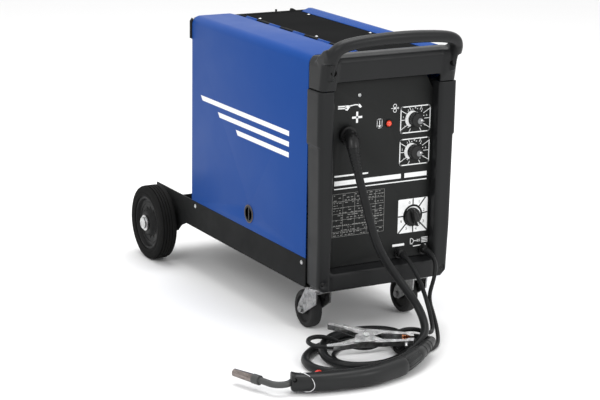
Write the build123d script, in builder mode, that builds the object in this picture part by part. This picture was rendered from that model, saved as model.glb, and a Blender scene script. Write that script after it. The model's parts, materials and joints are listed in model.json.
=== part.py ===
"""Wire-feed welder on a two-wheel cart: sheet-metal case, moulded fascia and pull handle,
bottle platform at the rear, torch and earth leads on the floor in front.

Frame: x across, y from front (-) to rear (+), z up, floor at z = 0. Millimetres.
"""
import math
import os

from build123d import *

os.makedirs("parts", exist_ok=True)

# ---------------------------------------------------------------- driving dimensions
HALF_W = 149.3          # half width of the case and of the cart rails
SHEET = 1.5             # case sheet thickness
RAIL_T = 3.0            # cart rail plate thickness
Y_FRONT = -303.0        # front edge of the sheet-metal case
Y_REAR = 188.0          # rear edge of the sheet-metal case
Y_TAIL = 364.0          # rear corner of the cart rails
Z_BASE = 98.5           # underside of the cart
Z_RAIL = 156.5          # top of the cart rails
Z_ROOF = 550.0          # flat of the side panels' top flange
Z_COVER = 543.5         # top face of the black top cover
CORNER_R = 18.0         # bend radius of the panels' top edge

WHEEL_R, WHEEL_W = 80.7, 40.2
WHEEL_X = 178.5         # centre plane of each rear wheel
AXLE_Y, AXLE_R = 315.3, 10.0
RUN = 0.05              # radial running clearance

CASTER_X, CASTER_Y = 110.0, -288.0
CASTER_R, CASTER_W, TRAIL = 37.5, 24.0, 38.0

FASCIA_Y = -352.0       # front plane of the moulded fascia
PANEL_Y = -329.0        # front face of the control panel plate

SPOOL_X, SPOOL_Y, SPOOL_Z, SPOOL_R, SPOOL_W = -97.0, 50.0, 330.0, 100.0, 54.0
FEED_Y, WIRE_Z = -165.0, 397.4
DRIVE_R, PRESS_R = 15.0, 11.0

TORCH_D, EARTH_D, MAINS_D = 16.0, 8.5, 8.0


def bx(x0, x1, y0, y1, z0, z1, mode=Mode.ADD):
    with Locations(((x0 + x1) / 2, (y0 + y1) / 2, (z0 + z1) / 2)):
        Box(x1 - x0, y1 - y0, z1 - z0, mode=mode)


def prism_x(pts, x0, x1, mode=Mode.ADD):
    with BuildSketch(Plane.YZ.offset(x0)) as face:
        with BuildLine():
            Polyline(*pts, close=True)
        make_face()
    extrude(face.sketch, amount=x1 - x0, mode=mode)


def prism_y(pts, y0, y1, mode=Mode.ADD):
    with BuildSketch(Plane.XZ.offset(-y1)) as face:
        with BuildLine():
            Polyline(*pts, close=True)
        make_face()
    extrude(face.sketch, amount=y1 - y0, mode=mode)


def prism_z(pts, z0, z1, mode=Mode.ADD):
    with BuildSketch(Plane.XY.offset(z0)) as face:
        with BuildLine():
            Polyline(*pts, close=True)
        make_face()
    extrude(face.sketch, amount=z1 - z0, mode=mode)


def cyl_x(y, z, r, x0, x1, mode=Mode.ADD):
    with BuildSketch(Plane.YZ.offset(x0)) as face:
        with Locations((y, z)):
            Circle(r)
    extrude(face.sketch, amount=x1 - x0, mode=mode)


def cyl_y(x, z, r, y0, y1, mode=Mode.ADD):
    with BuildSketch(Plane.XZ.offset(-y1)) as face:
        with Locations((x, z)):
            Circle(r)
    extrude(face.sketch, amount=y1 - y0, mode=mode)


def cyl_z(x, y, r, z0, z1, mode=Mode.ADD):
    with BuildSketch(Plane.XY.offset(z0)) as face:
        with Locations((x, y)):
            Circle(r)
    extrude(face.sketch, amount=z1 - z0, mode=mode)


def save(builder, name):
    builder.part.label = name
    export_step(builder.part, f"parts/{name}.step")
    b = builder.part.bounding_box()
    print(f"{name}: solids {len(builder.part.solids())} vol {builder.part.volume / 1000:.1f} cm3 "
          f"x {b.min.X:.1f}..{b.max.X:.1f} y {b.min.Y:.1f}..{b.max.Y:.1f} z {b.min.Z:.1f}..{b.max.Z:.1f}")


# ================================================================ cart
with BuildPart() as base_plate:
    bx(-HALF_W + RAIL_T, HALF_W - RAIL_T, Y_FRONT, Y_REAR, Z_BASE, Z_BASE + 3)
    for k in range(6):                       # cooling slots under the transformer
        bx(40, 110, -200 + 22 * k, -190 + 22 * k, Z_BASE - 1, Z_BASE + 4, Mode.SUBTRACT)
save(base_plate, "base_plate")


def rail(side):
    """Side rail with its drop-down axle ear at the rear."""
    pts = [(Y_FRONT, Z_BASE), (Y_FRONT, Z_RAIL), (Y_TAIL, Z_RAIL), (Y_TAIL, 84), (348, 62), (284, 62),
           (258, 72), (240, 88), (216, Z_BASE)]
    x0 = -HALF_W if side < 0 else HALF_W - RAIL_T
    with BuildPart() as p:
        prism_x(pts, x0, x0 + RAIL_T)
        cyl_x(AXLE_Y, WHEEL_R, AXLE_R, x0 - 1, x0 + RAIL_T + 1, Mode.SUBTRACT)
    return p


cart_rail_left = rail(-1)
save(cart_rail_left, "cart_rail_left")
cart_rail_right = rail(1)
save(cart_rail_right, "cart_rail_right")

with BuildPart() as bottle_platform:
    X = HALF_W - RAIL_T
    bx(-X, X, Y_REAR + 2, 361, Z_BASE, Z_BASE + 3)
    bx(-X, X, 358, 361, Z_BASE, 121)
    bx(-X, X, Y_REAR + 2, Y_REAR + 4.5, Z_BASE, 116)
    fillet(bottle_platform.edges().filter_by(Axis.X).group_by(Axis.Z)[-1], 0.8)
save(bottle_platform, "bottle_platform")

with BuildPart() as rear_axle:
    cyl_x(AXLE_Y, WHEEL_R, AXLE_R, -203, 203)
    cyl_x(AXLE_Y, WHEEL_R, AXLE_R + 3, -HALF_W - 5, -HALF_W)
    cyl_x(AXLE_Y, WHEEL_R, AXLE_R + 3, HALF_W, HALF_W + 5)
save(rear_axle, "rear_axle")

with BuildPart() as axle_caps:
    for s in (-1, 1):
        a, b = (199.4, 201.4)
        cyl_x(AXLE_Y, WHEEL_R, 17, min(s * a, s * b), max(s * a, s * b))
        cyl_x(AXLE_Y, WHEEL_R, 12.5, min(s * 201.4, s * 206), max(s * 201.4, s * 206))
        cyl_x(AXLE_Y, WHEEL_R, AXLE_R, min(s * 199, s * 203), max(s * 199, s * 203), Mode.SUBTRACT)
save(axle_caps, "axle_caps")


def wheel(side):
    """Tyre with a grooved tread, and its rim with a running bore."""
    xc = side * WHEEL_X
    x0, x1 = xc - WHEEL_W / 2, xc + WHEEL_W / 2
    with BuildPart() as tyre:
        with BuildSketch(Plane.XY):
            with BuildLine():
                Polyline((x0 + 3, AXLE_Y + 58), (x0 + 0.8, AXLE_Y + 62), (x0, AXLE_Y + 68),
                         (x0 + 1.2, AXLE_Y + 76), (x0 + 5, AXLE_Y + 80),
                         (xc - 10.6, AXLE_Y + WHEEL_R), (xc - 9.4, AXLE_Y + 77.6), (xc - 6.8, AXLE_Y + 77.6),
                         (xc - 5.6, AXLE_Y + WHEEL_R), (xc + 5.6, AXLE_Y + WHEEL_R), (xc + 6.8, AXLE_Y + 77.6),
                         (xc + 9.4, AXLE_Y + 77.6), (xc + 10.6, AXLE_Y + WHEEL_R),
                         (x1 - 5, AXLE_Y + 80), (x1 - 1.2, AXLE_Y + 76), (x1, AXLE_Y + 68),
                         (x1 - 0.8, AXLE_Y + 62), (x1 - 3, AXLE_Y + 58), close=True)
            make_face()
        revolve(axis=Axis((0, AXLE_Y, 0), (1, 0, 0)))
        tyre.part = Pos(0, 0, WHEEL_R) * tyre.part
    with BuildPart() as rim:
        with BuildSketch(Plane.XY):
            with BuildLine():
                Polyline((x0 + 3, AXLE_Y + 58), (x0 + 3, AXLE_Y + 53), (x0 + 9, AXLE_Y + 50), (x0 + 12, AXLE_Y + 26),
                         (x0 + 1, AXLE_Y + 22), (x0 + 1, AXLE_Y + AXLE_R + RUN),
                         (x1 - 1, AXLE_Y + AXLE_R + RUN), (x1 - 1, AXLE_Y + 22), (x1 - 12, AXLE_Y + 26),
                         (x1 - 9, AXLE_Y + 50), (x1 - 3, AXLE_Y + 53), (x1 - 3, AXLE_Y + 58), close=True)
            make_face()
        revolve(axis=Axis((0, AXLE_Y, 0), (1, 0, 0)))
        rim.part = Pos(0, 0, WHEEL_R) * rim.part
    return tyre, rim


for side, tag in ((-1, "left"), (1, "right")):
    tyre, rim = wheel(side)
    save(tyre, f"wheel_tyre_{tag}")
    save(rim, f"wheel_rim_{tag}")

# ---------------------------------------------------------------- swivel casters
with BuildPart() as caster_plates:
    for s in (-1, 1):
        bx(s * CASTER_X - 32, s * CASTER_X + 32, CASTER_Y - 14.5, CASTER_Y + 46, 95.5, Z_BASE)
        cyl_z(s * CASTER_X, CASTER_Y, 19, 91.5, 95.5)
        cyl_z(s * CASTER_X, CASTER_Y, 5, 79, 91.5)
        cyl_z(s * CASTER_X, CASTER_Y, 8, 77, 81)
save(caster_plates, "caster_plates")


def caster(side):
    xc, ya = side * CASTER_X, CASTER_Y + TRAIL
    with BuildPart() as fork:
        cyl_z(xc, CASTER_Y, 22, 86.2, 91.2)
        bx(xc - 17, xc + 17, -309, -268, 83.4, 86.4)
        for s in (-1, 1):
            prism_x([(-309, 86.4), (-268, 86.4), (-262, 78), (-240, 46), (-239, 36), (-246, 29), (-257, 30), (-307, 62)],
                    min(xc + s * 14, xc + s * 17), max(xc + s * 14, xc + s * 17))
        cyl_z(xc, CASTER_Y, 5 + RUN, 80, 95, Mode.SUBTRACT)
        cyl_z(xc, CASTER_Y, 8.6, 76, 83.4, Mode.SUBTRACT)
        cyl_x(ya, CASTER_R, 4, xc - 20, xc + 20)
        cyl_x(ya, CASTER_R, 6.5, xc - 21, xc - 17)
        cyl_x(ya, CASTER_R, 6.5, xc + 17, xc + 21)
    with BuildPart() as roller:
        with BuildSketch(Plane.XY):
            with BuildLine():
                x0, x1 = xc - CASTER_W / 2, xc + CASTER_W / 2
                Polyline((x0 + 2.5, ya + CASTER_R - 1), (x0 + 5.5, ya + CASTER_R), (x1 - 5.5, ya + CASTER_R),
                         (x1 - 2.5, ya + CASTER_R - 1), (x1, ya + CASTER_R - 4.5), (x1, ya + 27), (x1 - 5, ya + 25),
                         (x1 - 6, ya + 12), (x1, ya + 10), (x1, ya + 4 + RUN), (x0, ya + 4 + RUN), (x0, ya + 10),
                         (x0 + 6, ya + 12), (x0 + 5, ya + 25), (x0, ya + 27), (x0, ya + CASTER_R - 4.5), close=True)
            make_face()
        revolve(axis=Axis((0, ya, 0), (1, 0, 0)))
        roller.part = Pos(0, 0, CASTER_R) * roller.part
    return fork, roller


for side, tag in ((-1, "left"), (1, "right")):
    fork, roller = caster(side)
    save(fork, f"caster_fork_{tag}")
    save(roller, f"caster_wheel_{tag}")

# ================================================================ case


def panel_profile(t, x_edge, z_edge, x_flat):
    """Side panel section on the left: upright wall, bend, flat flange, bevel down to the cover."""
    w, r = HALF_W, CORNER_R
    with BuildSketch(Plane.XZ.offset(-Y_REAR)) as s:
        with BuildLine():
            Line((-w, Z_RAIL + 0.6), (-w, Z_ROOF - r))
            ThreePointArc((-w, Z_ROOF - r), (-w + r - r * math.cos(math.pi / 4), Z_ROOF - r + r * math.sin(math.pi / 4)),
                          (-w + r, Z_ROOF))
            Polyline((-w + r, Z_ROOF), (x_flat, Z_ROOF), (x_edge, z_edge), (x_edge - 0.3, z_edge - t),
                     (x_flat - 0.5, Z_ROOF - t), (-w + r, Z_ROOF - t))
            ThreePointArc((-w + r, Z_ROOF - t), (-w + r - (r - t) * math.cos(math.pi / 4),
                                               Z_ROOF - r + (r - t) * math.sin(math.pi / 4)), (-w + t, Z_ROOF - r))
            Polyline((-w + t, Z_ROOF - r), (-w + t, Z_RAIL + 0.6), (-w, Z_RAIL + 0.6))
        make_face()
    return s


HINGE_X, HINGE_Z = -37.5, 545.2
LATCH_Y, LATCH_Z = -71.7, 188.8

with BuildPart() as side_door:
    extrude(panel_profile(SHEET, HINGE_X - 4.2, HINGE_Z - 0.4, -62).sketch, amount=Y_REAR - Y_FRONT)
    # stiffening return along the bottom edge, and the leaf that carries the hinge knuckles
    bx(-HALF_W + SHEET, -HALF_W + 14, Y_FRONT + 12, Y_REAR - 12, Z_RAIL + 0.6, Z_RAIL + 2.1)
    for k in range(5):
        y0 = -290 + 100 * k
        bx(HINGE_X - 5.5, HINGE_X - 1.0, y0, y0 + 46, HINGE_Z - 1.2, HINGE_Z + 0.4)
        cyl_y(HINGE_X, HINGE_Z, 2.6, y0, y0 + 46)
        cyl_y(HINGE_X, HINGE_Z, 1.5 + RUN, y0 - 1, y0 + 47, Mode.SUBTRACT)
    cyl_x(LATCH_Y, LATCH_Z, 17 + RUN, -HALF_W - 2, -HALF_W + 4, Mode.SUBTRACT)
save(side_door, "side_door")

with BuildPart() as right_panel:
    extrude(panel_profile(SHEET, -110, 544.2, -126).sketch, amount=Y_REAR - Y_FRONT)
    bx(-HALF_W + SHEET, -HALF_W + 14, Y_FRONT + 12, Y_REAR - 12, Z_RAIL + 0.6, Z_RAIL + 2.1)
    mirror(about=Plane.YZ, mode=Mode.REPLACE)
    for j in range(2):
        for k in range(7):                   # louvre slots beside the transformer
            bx(HALF_W - 3, HALF_W + 1, -60 + 90 * j, 10 + 90 * j, 200 + 16 * k, 206 + 16 * k, Mode.SUBTRACT)
save(right_panel, "right_panel")

with BuildPart() as door_latch:
    cyl_x(LATCH_Y, LATCH_Z, 17, -HALF_W - 1.2, -HALF_W + 9)
    cyl_x(LATCH_Y, LATCH_Z, 13.5, -HALF_W - 2, -HALF_W + 1.5, Mode.SUBTRACT)
    bx(-HALF_W - 0.8, -HALF_W + 2, LATCH_Y - 2, LATCH_Y + 2, LATCH_Z - 13.5, LATCH_Z + 13.5)
    bx(-HALF_W + 9, -HALF_W + 11, LATCH_Y - 7, LATCH_Y + 7, LATCH_Z - 26, LATCH_Z + 9)
save(door_latch, "door_latch")

with BuildPart() as top_cover:
    bx(-33.5, 109, Y_FRONT, Y_REAR, Z_COVER - SHEET, Z_COVER)
    bx(-33.5, -32, Y_FRONT, Y_REAR - 3, Z_COVER - 14, Z_COVER)
    bx(107.5, 109, Y_FRONT, Y_REAR - 3, Z_COVER - 14, Z_COVER)
save(top_cover, "top_cover")

with BuildPart() as hinge_pin:
    cyl_y(HINGE_X, HINGE_Z, 1.5, -296, 182)
    for k in range(4):
        y0 = -290 + 46.5 + 100 * k
        cyl_y(HINGE_X, HINGE_Z, 2.6, y0, y0 + 53)
        bx(HINGE_X, -26, y0, y0 + 53, Z_COVER, Z_COVER + 1.2)
save(hinge_pin, "hinge_pin")

with BuildPart() as rear_panel:
    prism_y([(-146, Z_BASE + 3), (146, Z_BASE + 3), (146, 526), (134, 539), (-134, 539), (-146, 526)], Y_REAR - 2, Y_REAR - 0.5)
    for k in range(9):                       # fan outlet louvres
        bx(30, 120, Y_REAR - 4, Y_REAR + 2, 262 + 14 * k, 268 + 14 * k, Mode.SUBTRACT)
    cyl_y(-97, 210, 6.05, Y_REAR - 4, Y_REAR + 2, Mode.SUBTRACT)
save(rear_panel, "rear_panel")

with BuildPart() as bottle_bracket:
    # plate across the rear edge of the roof, with the cradle lips that a gas bottle leans on
    prism_y([(-148, 501), (-148, 538), (-140, 546), (84, 546), (86, 550.7), (90, 550.7), (99, 546), (140, 546), (148, 538),
             (148, 501)], Y_REAR + 0.5, Y_REAR + 6.5)
    for s in (-1, 1):
        prism_z([(s * 84, Y_REAR + 6.5), (s * 92, Y_REAR + 6.5), (s * 62, Y_REAR + 30), (s * 55, Y_REAR + 30)], 512, 536)
    bx(-58, 58, Y_REAR + 6.4, Y_REAR + 10, 512, 536)
    cyl_z(50, Y_REAR + 3.5, 2.2, 540, 551)
    for s in (-1, 1):
        bx(s * 118 - 9, s * 118 + 9, Y_REAR - 1, Y_REAR + 8, 520, 523, Mode.SUBTRACT)
save(bottle_bracket, "bottle_bracket")

with BuildPart() as divider:
    bx(-21.5, -20, Y_FRONT, Y_REAR - 2, Z_BASE + 3, Z_COVER - SHEET)
    bx(-20, -8, Y_FRONT, Y_REAR - 2, Z_BASE + 3, Z_BASE + 4.5)
save(divider, "divider")

# ================================================================ fascia and handle
with BuildPart() as front_frame:
    # moulded surround: two posts, a bottom bar and the wider band beside the knobs
    outer = [(-146, 108), (-135, 97), (135, 97), (146, 108), (148.8, 380), (152, 383), (152, 487),
             (-152, 487), (-152, 383), (-148.8, 380)]
    prism_y(outer, FASCIA_Y, Y_FRONT - 0.4)
    prism_y([(-117, 139), (112, 139), (112, 488), (-117, 488)], FASCIA_Y - 1, Y_FRONT + 1, Mode.SUBTRACT)
    prism_x([(FASCIA_Y - 1, 131), (FASCIA_Y + 10, 134), (PANEL_Y, 139.5), (FASCIA_Y - 1, 139.5)], -117, 112, Mode.SUBTRACT)
    # the posts lean back a little towards the bottom
    prism_x([(FASCIA_Y - 1, 90), (FASCIA_Y + 5, 90), (FASCIA_Y, 200), (FASCIA_Y - 1, 200)], -150, 150, Mode.SUBTRACT)
    # hollow behind
    bx(-113, 109, -325.5, Y_FRONT + 1, 100, 140, Mode.SUBTRACT)
    for s in (-1, 1):
        cyl_y(s * 134, 114, 6, FASCIA_Y - 2, FASCIA_Y + 8, Mode.SUBTRACT)
save(front_frame, "front_frame")

with BuildPart() as front_panel:
    prism_y([(-117, 139.6), (112, 139.6), (112, 470), (96, 498), (-117, 498)], PANEL_Y, PANEL_Y + 3)
    cyl_y(-79.4, 397.4, 17.0, PANEL_Y - 1, PANEL_Y + 4, Mode.SUBTRACT)
    cyl_y(13, 410.4, 4.5, PANEL_Y - 1, PANEL_Y + 4, Mode.SUBTRACT)
    for x, z, r in ((71.5, 413.5, 3.4), (71.5, 350, 3.4), (72, 221, 4.4), (43.7, 142.6 + 8, 8), (99, 143.7 + 8, 8)):
        cyl_y(x, z, r, PANEL_Y - 1, PANEL_Y + 4, Mode.SUBTRACT)
save(front_panel, "front_panel")

with BuildPart() as handle_hood:
    # hood shell
    prism_x([(Y_FRONT - 0.4, 487.6), (Y_FRONT - 0.4, 549), (-326, 553), (-346, 554), (-357, 550), (-361, 541),
             (-355, 503), (FASCIA_Y, 487.6)], -HALF_W, HALF_W)
    for s in (-1, 1):                        # rounded shoulders that carry on the case's corner
        with BuildSketch(Plane.XZ.offset(-Y_FRONT)):
            with BuildLine():
                Polyline((s * (HALF_W - 17), 556), (s * (HALF_W + 1), 556), (s * (HALF_W + 1), 532))
                Line((s * (HALF_W + 1), 532), (s * HALF_W, 532))
                ThreePointArc((s * HALF_W, 532), (s * (HALF_W - 5.2), 546), (s * (HALF_W - 17), 554))
                Line((s * (HALF_W - 17), 554), (s * (HALF_W - 17), 556))
            make_face()
        extrude(amount=62, mode=Mode.SUBTRACT)
    bx(-HALF_W + 5, HALF_W - 5, -347, Y_FRONT + 1, 486, 540, Mode.SUBTRACT)
    bx(-117, 112, -362, -345, 486, 503, Mode.SUBTRACT)
    # side arms leaning forward to the bar
    for s in (-1, 1):
        a, b = s * 128, s * HALF_W
        prism_x([(-330, 545), (-357, 520), (-362, 541), (-383, 560), (-388, 570), (-376, 584), (-352, 580), (-338, 562)],
                min(a, b), max(a, b))
    # grip bar: bowed upwards in front view and forwards in plan
    with BuildSketch(Plane.XZ.offset(350)):
        with BuildLine():
            Spline((-HALF_W, 562), (-144, 576), (-120, 588), (-60, 595), (0, 597), (60, 595), (120, 588), (144, 576), (HALF_W, 562))
            Line((HALF_W, 562), (HALF_W, 552))
            Line((HALF_W, 552), (128, 552))
            Spline((128, 552), (116, 563), (60, 570.5), (0, 572), (-60, 570.5), (-116, 563), (-128, 552))
            Line((-128, 552), (-HALF_W, 552))
            Line((-HALF_W, 552), (-HALF_W, 562))
        make_face()
    extrude(amount=16)
    with BuildSketch(Plane.XZ.offset(366)):
        with BuildLine():
            Spline((-HALF_W, 562), (-144, 576), (-120, 588), (-60, 595), (0, 597), (60, 595), (120, 588), (144, 576), (HALF_W, 562))
            Line((HALF_W, 562), (HALF_W, 552))
            Line((HALF_W, 552), (128, 552))
            Spline((128, 552), (116, 563), (60, 570.5), (0, 572), (-60, 570.5), (-116, 563), (-128, 552))
            Line((-128, 552), (-HALF_W, 552))
            Line((-HALF_W, 552), (-HALF_W, 562))
        make_face()
    extrude(amount=30)
    # trim the bar in plan: curved front, and a rear face clear of the hood for the hand
    with BuildSketch(Plane.XY.offset(556.5)):
        with BuildLine():
            Spline((-152, -378), (-120, -391), (0, -396), (120, -391), (152, -378))
            Polyline((152, -378), (152, -400), (-152, -400), (-152, -378))
        make_face()
    extrude(amount=60, mode=Mode.SUBTRACT)
    with BuildSketch(Plane.XY.offset(556.2)):
        with BuildLine():
            Spline((-127, -352), (-110, -362), (0, -366), (110, -362), (127, -352))
            Polyline((127, -352), (127, -340), (-127, -340), (-127, -352))
        make_face()
    extrude(amount=60, mode=Mode.SUBTRACT)
    bx(-127, 127, -398, -362, 551, 561, Mode.SUBTRACT)
save(handle_hood, "handle_hood")

# ================================================================ control panel pieces
with BuildPart() as torch_socket:
    cyl_y(-79.4, 397.4, 17.0, PANEL_Y - 9, PANEL_Y + 14)
    # angled boot that turns the torch lead downwards
    with BuildLine() as boot_path:
        Spline((-79.4, PANEL_Y - 8, 397.4), (-82.4, -355, 391), (-84, -362, 378), tangents=((0, -1, 0), (0.0, -0.35, -1)))
    with BuildSketch(Plane(boot_path.line @ 0, z_dir=boot_path.line % 0)):
        Circle(12.5)
    sweep(path=boot_path.line)
save(torch_socket, "torch_socket")

with BuildPart() as cable_glands:
    for x, z in ((43.7, 142.6 + 8), (99, 143.7 + 8)):
        cyl_y(x, z, 8, PANEL_Y, PANEL_Y + 8)
        cyl_y(x, z, 10, PANEL_Y - 5, PANEL_Y)
        cyl_y(x, z, 7.6, PANEL_Y - 15, PANEL_Y - 5)
    chamfer(cable_glands.edges().filter_by(GeomType.CIRCLE).group_by(Axis.Y)[0], 1.6)
save(cable_glands, "cable_glands")

with BuildPart() as led_lens:
    cyl_y(13, 410.4, 4.5, PANEL_Y - 4, PANEL_Y + 4)
    fillet(led_lens.edges().filter_by(GeomType.CIRCLE).group_by(Axis.Y)[0], 2.2)
save(led_lens, "led_lens")


def knob(x, z, r, depth, bar):
    """Round knob with a grip; its stub turns in the panel hole."""
    with BuildPart() as k:
        cyl_y(x, z, r, PANEL_Y - depth, PANEL_Y - 0.6)
        if bar:
            fillet(k.edges().filter_by(GeomType.CIRCLE).group_by(Axis.Y)[0], 1.5)
            with BuildSketch(Plane.XZ.offset(-PANEL_Y + depth - 1)):
                with Locations(Location((x, z), 28)):
                    SlotOverall(2 * r - 1, 12)
            extrude(amount=13)
        else:
            fillet(k.edges().filter_by(GeomType.CIRCLE).group_by(Axis.Y)[0], 2.0)
            cyl_y(x + 5.5, z + 3.5, 2.4, PANEL_Y - depth - 0.6, PANEL_Y - depth + 2)
        cyl_y(x, z, (4.4 if bar else 3.4) - RUN, PANEL_Y - 1, PANEL_Y + 6)
    return k


save(knob(71.5, 413.5, 13.0, 13.0, False), "wire_speed_knob")
save(knob(71.5, 350.0, 13.0, 13.0, False), "timer_knob")
save(knob(72.0, 221.0, 20.0, 7.0, True), "range_knob")

with BuildPart() as screws:
    for s, z in ((-1, 114), (1, 114)):
        cyl_y(s * 134, z, 5.2, FASCIA_Y + 4.5, FASCIA_Y + 8)
        cyl_y(s * 134, z, 2.4, FASCIA_Y + 3.5, FASCIA_Y + 8, Mode.SUBTRACT)
    for s in (-1, 1):                        # cart screws through the rails
        for y, z in ((170, 147), (-290, 146)):
            a, b = s * (HALF_W - RAIL_T), s * (HALF_W + 2.4)
            cyl_x(y, z, 4.4, min(a, b), max(a, b))
    for x, y in ((-19, 134), (-19, -103), (101, 141), (101, -110)):
        cyl_z(x, y, 3.6, Z_COVER, Z_COVER + 1.9)
    cyl_y(-53, 471, 3.6, PANEL_Y - 1.6, PANEL_Y)
save(screws, "screws")

# ================================================================ inside
with BuildPart() as transformer_core:
    bx(24, 128, -215, -95, Z_BASE + 3, 212)
    bx(50, 102, -230, -80, 126, 188, Mode.SUBTRACT)
    bx(68, 84, -215, -95, 120, 190)
save(transformer_core, "transformer_core")

with BuildPart() as transformer_coils:
    bx(51, 101, -226, -84, 127, 187)
    bx(67.5, 84.5, -230, -80, 119, 191, Mode.SUBTRACT)
save(transformer_coils, "transformer_coils")

with BuildPart() as rectifier:
    bx(10, 120, 20, 110, Z_BASE + 3, Z_BASE + 9)
    for k in range(8):
        bx(14 + 14 * k, 17 + 14 * k, 20, 110, Z_BASE + 9, 160)
save(rectifier, "rectifier")

FAN_X, FAN_Z = 75.0, 321.0
with BuildPart() as fan_motor:
    cyl_y(FAN_X, FAN_Z, 26, 96, 140)
    cyl_y(FAN_X, FAN_Z, 3, 140, 170)
    for a in range(3):
        ang = math.radians(90 + 120 * a)
        cx, cz = FAN_X + 44 * math.cos(ang), FAN_Z + 44 * math.sin(ang)
        with BuildSketch(Plane.XZ.offset(-112)):
            with Locations(Location(((FAN_X + cx) / 2, (FAN_Z + cz) / 2), 90 + 120 * a)):
                Rectangle(60, 6)
        extrude(amount=4)
        cyl_y(FAN_X + 52 * math.cos(ang), FAN_Z + 52 * math.sin(ang), 4, 108, Y_REAR - 2)
save(fan_motor, "fan_motor")

with BuildPart() as fan_blade:
    cyl_y(FAN_X, FAN_Z, 14, 150, 166)
    for a in range(5):
        pl = Plane((FAN_X, 158, FAN_Z), x_dir=(0, 1, 0),
                   z_dir=(math.cos(math.radians(72 * a)), 0, math.sin(math.radians(72 * a))))
        with BuildSketch(pl.offset(10)):
            Rectangle(14, 24, rotation=35)
        extrude(amount=34)
    cyl_y(FAN_X, FAN_Z, 3 + RUN, 140, 175, Mode.SUBTRACT)
save(fan_blade, "fan_blade")

with BuildPart() as spool_hub:
    cyl_x(SPOOL_Y, SPOOL_Z, 25, SPOOL_X - SPOOL_W / 2 - 4, -21.5)
    cyl_x(SPOOL_Y, SPOOL_Z, 34, -46, -21.5)
    cyl_x(SPOOL_Y, SPOOL_Z, 12, SPOOL_X - SPOOL_W / 2 - 12, SPOOL_X - SPOOL_W / 2 - 4)
save(spool_hub, "spool_hub")

with BuildPart() as wire_spool:
    with BuildSketch(Plane.XY):
        with BuildLine():
            x0, x1 = SPOOL_X - SPOOL_W / 2, SPOOL_X + SPOOL_W / 2
            y = SPOOL_Y
            Polyline((x0, y + 25 + RUN), (x0, y + SPOOL_R), (x0 + 4, y + SPOOL_R), (x0 + 4, y + 80), (x1 - 4, y + 80),
                     (x1 - 4, y + SPOOL_R), (x1, y + SPOOL_R), (x1, y + 25 + RUN), close=True)
        make_face()
    revolve(axis=Axis((0, SPOOL_Y, 0), (1, 0, 0)))
    wire_spool.part = Pos(0, 0, SPOOL_Z) * wire_spool.part
save(wire_spool, "wire_spool")

DRIVE_Z = WIRE_Z - DRIVE_R - 0.5
PRESS_Z = WIRE_Z + PRESS_R + 0.5
with BuildPart() as feed_plate:
    bx(-61, -58, -230, -110, 340, 440)
    bx(-58, -21.5, -226, -222, 345, 435)
    bx(-58, -21.5, -118, -114, 345, 435)
    cyl_x(FEED_Y, DRIVE_Z, 20, -62, -57, Mode.SUBTRACT)
    # wire guides before and after the rollers
    cyl_y(-79.4, WIRE_Z, 5, FEED_Y + 24, -110)
    bx(-82, -60, -118, -112, 392, 403)
    cyl_y(-79.4, WIRE_Z, 5, PANEL_Y + 14, FEED_Y - 24)
    bx(-82, -60, -230, -222, 392, 403)
    cyl_y(-79.4, WIRE_Z, 1.2, PANEL_Y + 10, -100, Mode.SUBTRACT)
    # pivot of the pressure arm
    cyl_x(-208, 424, 4, -90, -58)
save(feed_plate, "feed_plate")

with BuildPart() as feed_motor:
    cyl_x(FEED_Y, DRIVE_Z, 26, -57.5, -22)
    cyl_x(FEED_Y, DRIVE_Z, 19.6, -62.5, -57.5)
    cyl_x(FEED_Y, DRIVE_Z, 4, -92, -62.5)
save(feed_motor, "feed_motor")

with BuildPart() as drive_roll:
    cyl_x(FEED_Y, DRIVE_Z, DRIVE_R, -86, -73)
    cyl_x(FEED_Y, DRIVE_Z, 8, -73, -66)
    cyl_x(FEED_Y, DRIVE_Z, DRIVE_R + 1, -79.9, -78.9, Mode.SUBTRACT)
    cyl_x(FEED_Y, DRIVE_Z, DRIVE_R - 0.6, -80, -78.8)
    cyl_x(FEED_Y, DRIVE_Z, 4 + RUN, -90, -60, Mode.SUBTRACT)
save(drive_roll, "drive_roll")

with BuildPart() as pressure_arm:
    prism_x([(-214, 417), (-214, 431), (-150, 434), (-112, 428), (-112, 420), (-150, 422), (-158, 414), (-161, 403),
             (-169, 403), (-172, 414), (-180, 420), (-202, 417)], -72, -66)
    cyl_x(-208, 424, 7, -72, -66)
    cyl_x(-208, 424, 4 + RUN, -75, -60, Mode.SUBTRACT)
    cyl_x(FEED_Y, PRESS_Z, 3, -88, -66)
save(pressure_arm, "pressure_arm")

with BuildPart() as pressure_roll:
    cyl_x(FEED_Y, PRESS_Z, PRESS_R, -86, -73)
    cyl_x(FEED_Y, PRESS_Z, 3 + RUN, -90, -60, Mode.SUBTRACT)
save(pressure_roll, "pressure_roll")

with BuildPart() as gas_inlet:
    cyl_y(-97, 210, 6.0, 150, Y_REAR + 4)
    cyl_y(-97, 210, 9.5, Y_REAR - 0.5, Y_REAR + 5)
    cyl_y(-97, 210, 4.0, Y_REAR + 5, Y_REAR + 30)
    cyl_y(-97, 210, 13, 120, 150)
    cyl_y(-97, 210, 2.0, 150, Y_REAR + 31, Mode.SUBTRACT)
save(gas_inlet, "gas_inlet")

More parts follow.
